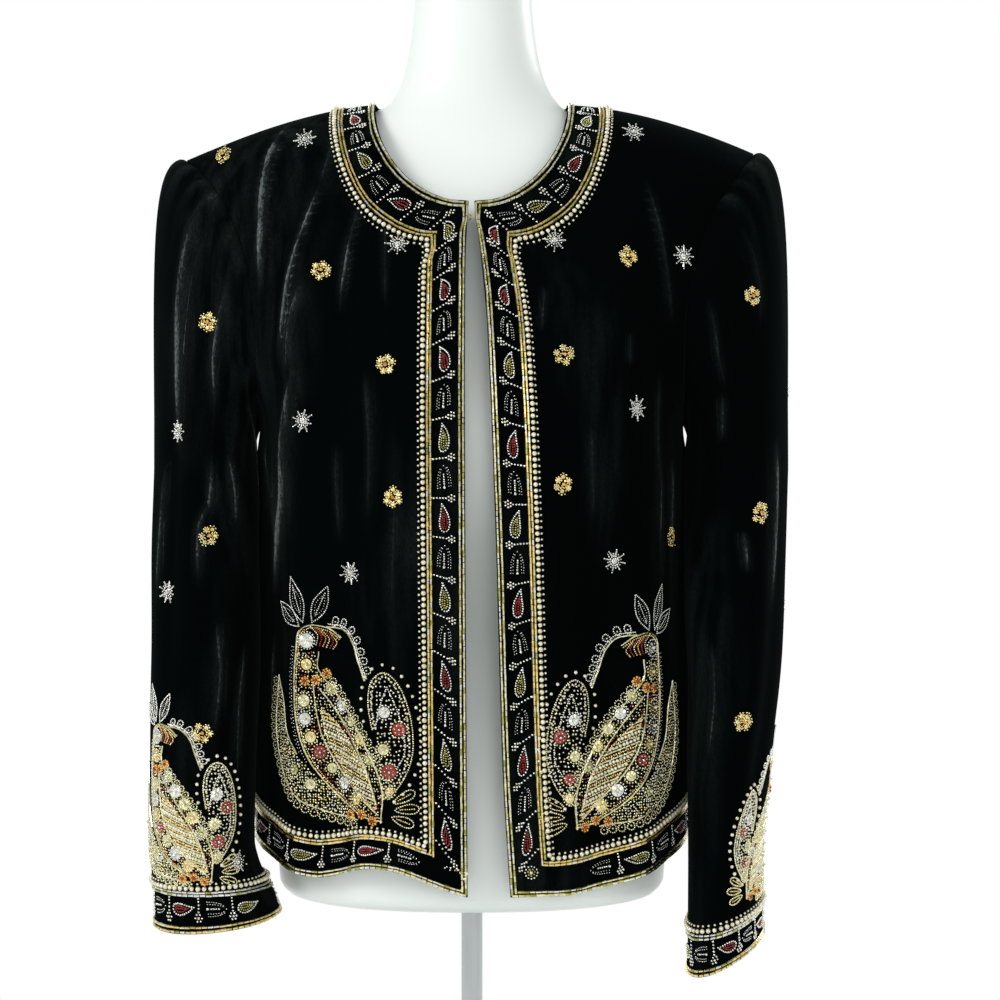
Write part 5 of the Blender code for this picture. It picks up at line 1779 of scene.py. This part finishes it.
def dress_jacket(materials):
    """Velvet shells and their beadwork in place of the plain solids."""
    velvet = velvet_material()
    front_left = panel_shell(FRONT, LEFT, LEFT_FOLDS, LEFT_CREASES)
    front_right = panel_shell(FRONT, RIGHT, RIGHT_FOLDS, RIGHT_CREASES)
    back_left = panel_shell(BACK, LEFT, BACK_FOLDS, BACK_LEFT_CREASES)
    back_right = panel_shell(BACK, RIGHT, BACK_FOLDS, BACK_RIGHT_CREASES)
    sleeve_left = sleeve_shell(LEFT, front_left, back_left, LEFT_SLEEVE, LEFT_SLEEVE_FOLDS,
                               LEFT_SLEEVE_CREASES)
    sleeve_right = sleeve_shell(RIGHT, front_right, back_right, RIGHT_SLEEVE, RIGHT_SLEEVE_FOLDS,
                                RIGHT_SLEEVE_CREASES)
    beadwork = {
        "front_left": dress_front("front_left", LEFT, front_left, LEFT_SPOTS, materials),
        "front_right": dress_front("front_right", RIGHT, front_right, RIGHT_SPOTS, materials),
        "back": dress_back("back", back_left, back_right, materials),
        "sleeve_left": dress_sleeve("sleeve_left", LEFT, sleeve_left, LEFT_SLEEVE, LEFT_SLEEVE_SPOTS,
                                    materials),
        "sleeve_right": dress_sleeve("sleeve_right", RIGHT, sleeve_right, RIGHT_SLEEVE, RIGHT_SLEEVE_SPOTS,
                                     materials),
    }
    cuts = {
        "front_left": ([front_left], False, (0.27, 0.60)),
        "front_right": ([front_right], False, (0.27, 0.60)),
        "back": ([back_left, back_right], False, (0.48, 0.58)),
        "sleeve_left": ([sleeve_left], True, (0.40, 0.62)),
        "sleeve_right": ([sleeve_right], True, (0.40, 0.64)),
    }
    for node, (shells, round_tube, flat) in cuts.items():
        piece = cloth_piece("velvet_" + node, shells, round_tube)
        finish_piece(piece, velvet)
        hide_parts(node)
        finish_piece(beadwork[node])
        cut_area(shells, round_tube)


def dress_stand(gold):
    """Form, pole, base and neck closure."""
    white, grey = stand_materials()
    body = finish_piece(fine_form(), white)
    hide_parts("form_torso")
    for node, material in (("form_pole", grey), ("form_base", grey), ("neck_hook", gold), ("neck_eye", gold)):
        paint(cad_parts[node], material)


# Studio
LIGHTS = (
    ("key_left", (-1.7, -1.3, 1.7), 0.9, 26.0),
    ("front_fill", (0.9, -2.2, 0.9), 1.4, 9.0),
    ("rim_right", (1.5, 0.9, 1.2), 0.8, 12.0),
    ("back_soft", (-0.6, 2.2, 1.4), 1.2, 14.0),
)


def area_light(name, place, target, size, power):
    light = bpy.data.lights.new(name, "AREA")
    light.shape = "SQUARE"
    light.size = size
    light.energy = power
    lamp = link(bpy.data.objects.new(name, light))
    lamp.location = place
    lamp.rotation_euler = (Vector(target) - Vector(place)).to_track_quat("-Z", "Y").to_euler()


def mix_looks(tree, factor, first, second, output):
    """Blends two looks by a factor and sends them to the output."""
    mix = tree.nodes.new("ShaderNodeMixShader")
    tree.links.new(factor, mix.inputs["Fac"])
    tree.links.new(first, mix.inputs[1])
    tree.links.new(second, mix.inputs[2])
    tree.links.new(mix.outputs["Shader"], output.inputs["Surface"])


def studio_floor():
    """Pale round floor that fades into the white surround."""
    bm = bmesh.new()
    bmesh.ops.create_circle(bm, cap_ends=True, segments=96, radius=4.0)
    mesh = bpy.data.meshes.new("floor")
    bm.to_mesh(mesh)
    bm.free()
    floor = link(bpy.data.objects.new("floor", mesh))
    floor.location = (0.0, 0.0, -0.0005)
    material, tree, shader = new_material("floor_white", 0.7)
    shader.inputs["Base Color"].default_value = (0.90, 0.90, 0.89, 1.0)
    glow = tree.nodes.new("ShaderNodeEmission")
    glow.inputs["Strength"].default_value = 1.0
    rays = tree.nodes.new("ShaderNodeLightPath")
    place = tree.nodes.new("ShaderNodeTexCoord")
    length = tree.nodes.new("ShaderNodeVectorMath")
    length.operation = "LENGTH"
    tree.links.new(place.outputs["Object"], length.inputs[0])
    fade = tree.nodes.new("ShaderNodeMapRange")
    fade.inputs["From Min"].default_value = 0.22
    fade.inputs["From Max"].default_value = 0.60
    tree.links.new(length.outputs["Value"], fade.inputs["Value"])
    factor = math_node(tree, "MULTIPLY", fade.outputs["Result"], rays.outputs["Is Camera Ray"])
    mix_looks(tree, factor, shader.outputs["BSDF"], glow.outputs["Emission"], tree.nodes["Material Output"])
    mesh.materials.append(material)


def studio():
    scene = bpy.context.scene
    world = bpy.data.worlds.new("white_surround")
    world.use_nodes = True
    tree = world.node_tree
    tree.nodes.clear()
    output = tree.nodes.new("ShaderNodeOutputWorld")
    rays = tree.nodes.new("ShaderNodeLightPath")
    soft = tree.nodes.new("ShaderNodeBackground")
    soft.inputs["Color"].default_value = (0.96, 1.0, 0.98, 1.0)
    soft.inputs["Strength"].default_value = 0.62
    white = tree.nodes.new("ShaderNodeBackground")
    white.inputs["Strength"].default_value = 1.0
    white.inputs["Color"].default_value = (1.0, 1.0, 1.0, 1.0)
    mix_looks(tree, rays.outputs["Is Camera Ray"], soft.outputs["Background"], white.outputs["Background"],
              output)
    scene.world = world
    scene.view_settings.view_transform = "Standard"
    target = (0.0, 0.0, 0.55)
    for name, place, size, power in LIGHTS:
        area_light(name, place, target, size, power)
    studio_floor()


CAMERA_DISTANCE = 1.5
CAMERA_ASIDE = 0.0213
CAMERA_HEIGHT = 0.297
SEEN_WIDTH = 0.76


def photo_camera():
    """Level camera in front, a little to the right of the pole."""
    data = bpy.data.cameras.new("photo_camera")
    data.sensor_width = 36.0
    data.lens = data.sensor_width * CAMERA_DISTANCE / SEEN_WIDTH
    camera = link(bpy.data.objects.new("photo_camera", data))
    camera.location = (CAMERA_ASIDE, -CAMERA_DISTANCE, STAND_HEIGHT + CAMERA_HEIGHT)
    camera.rotation_euler = (math.pi / 2.0, 0.0, 0.0)
    bpy.context.scene.camera = camera


bead_looks = {name: bead_material("bead_" + name, look) for name, look in BEAD_LOOKS.items()}
dress_jacket(bead_looks)
dress_stand(bead_looks["gold"])
studio()
photo_camera()
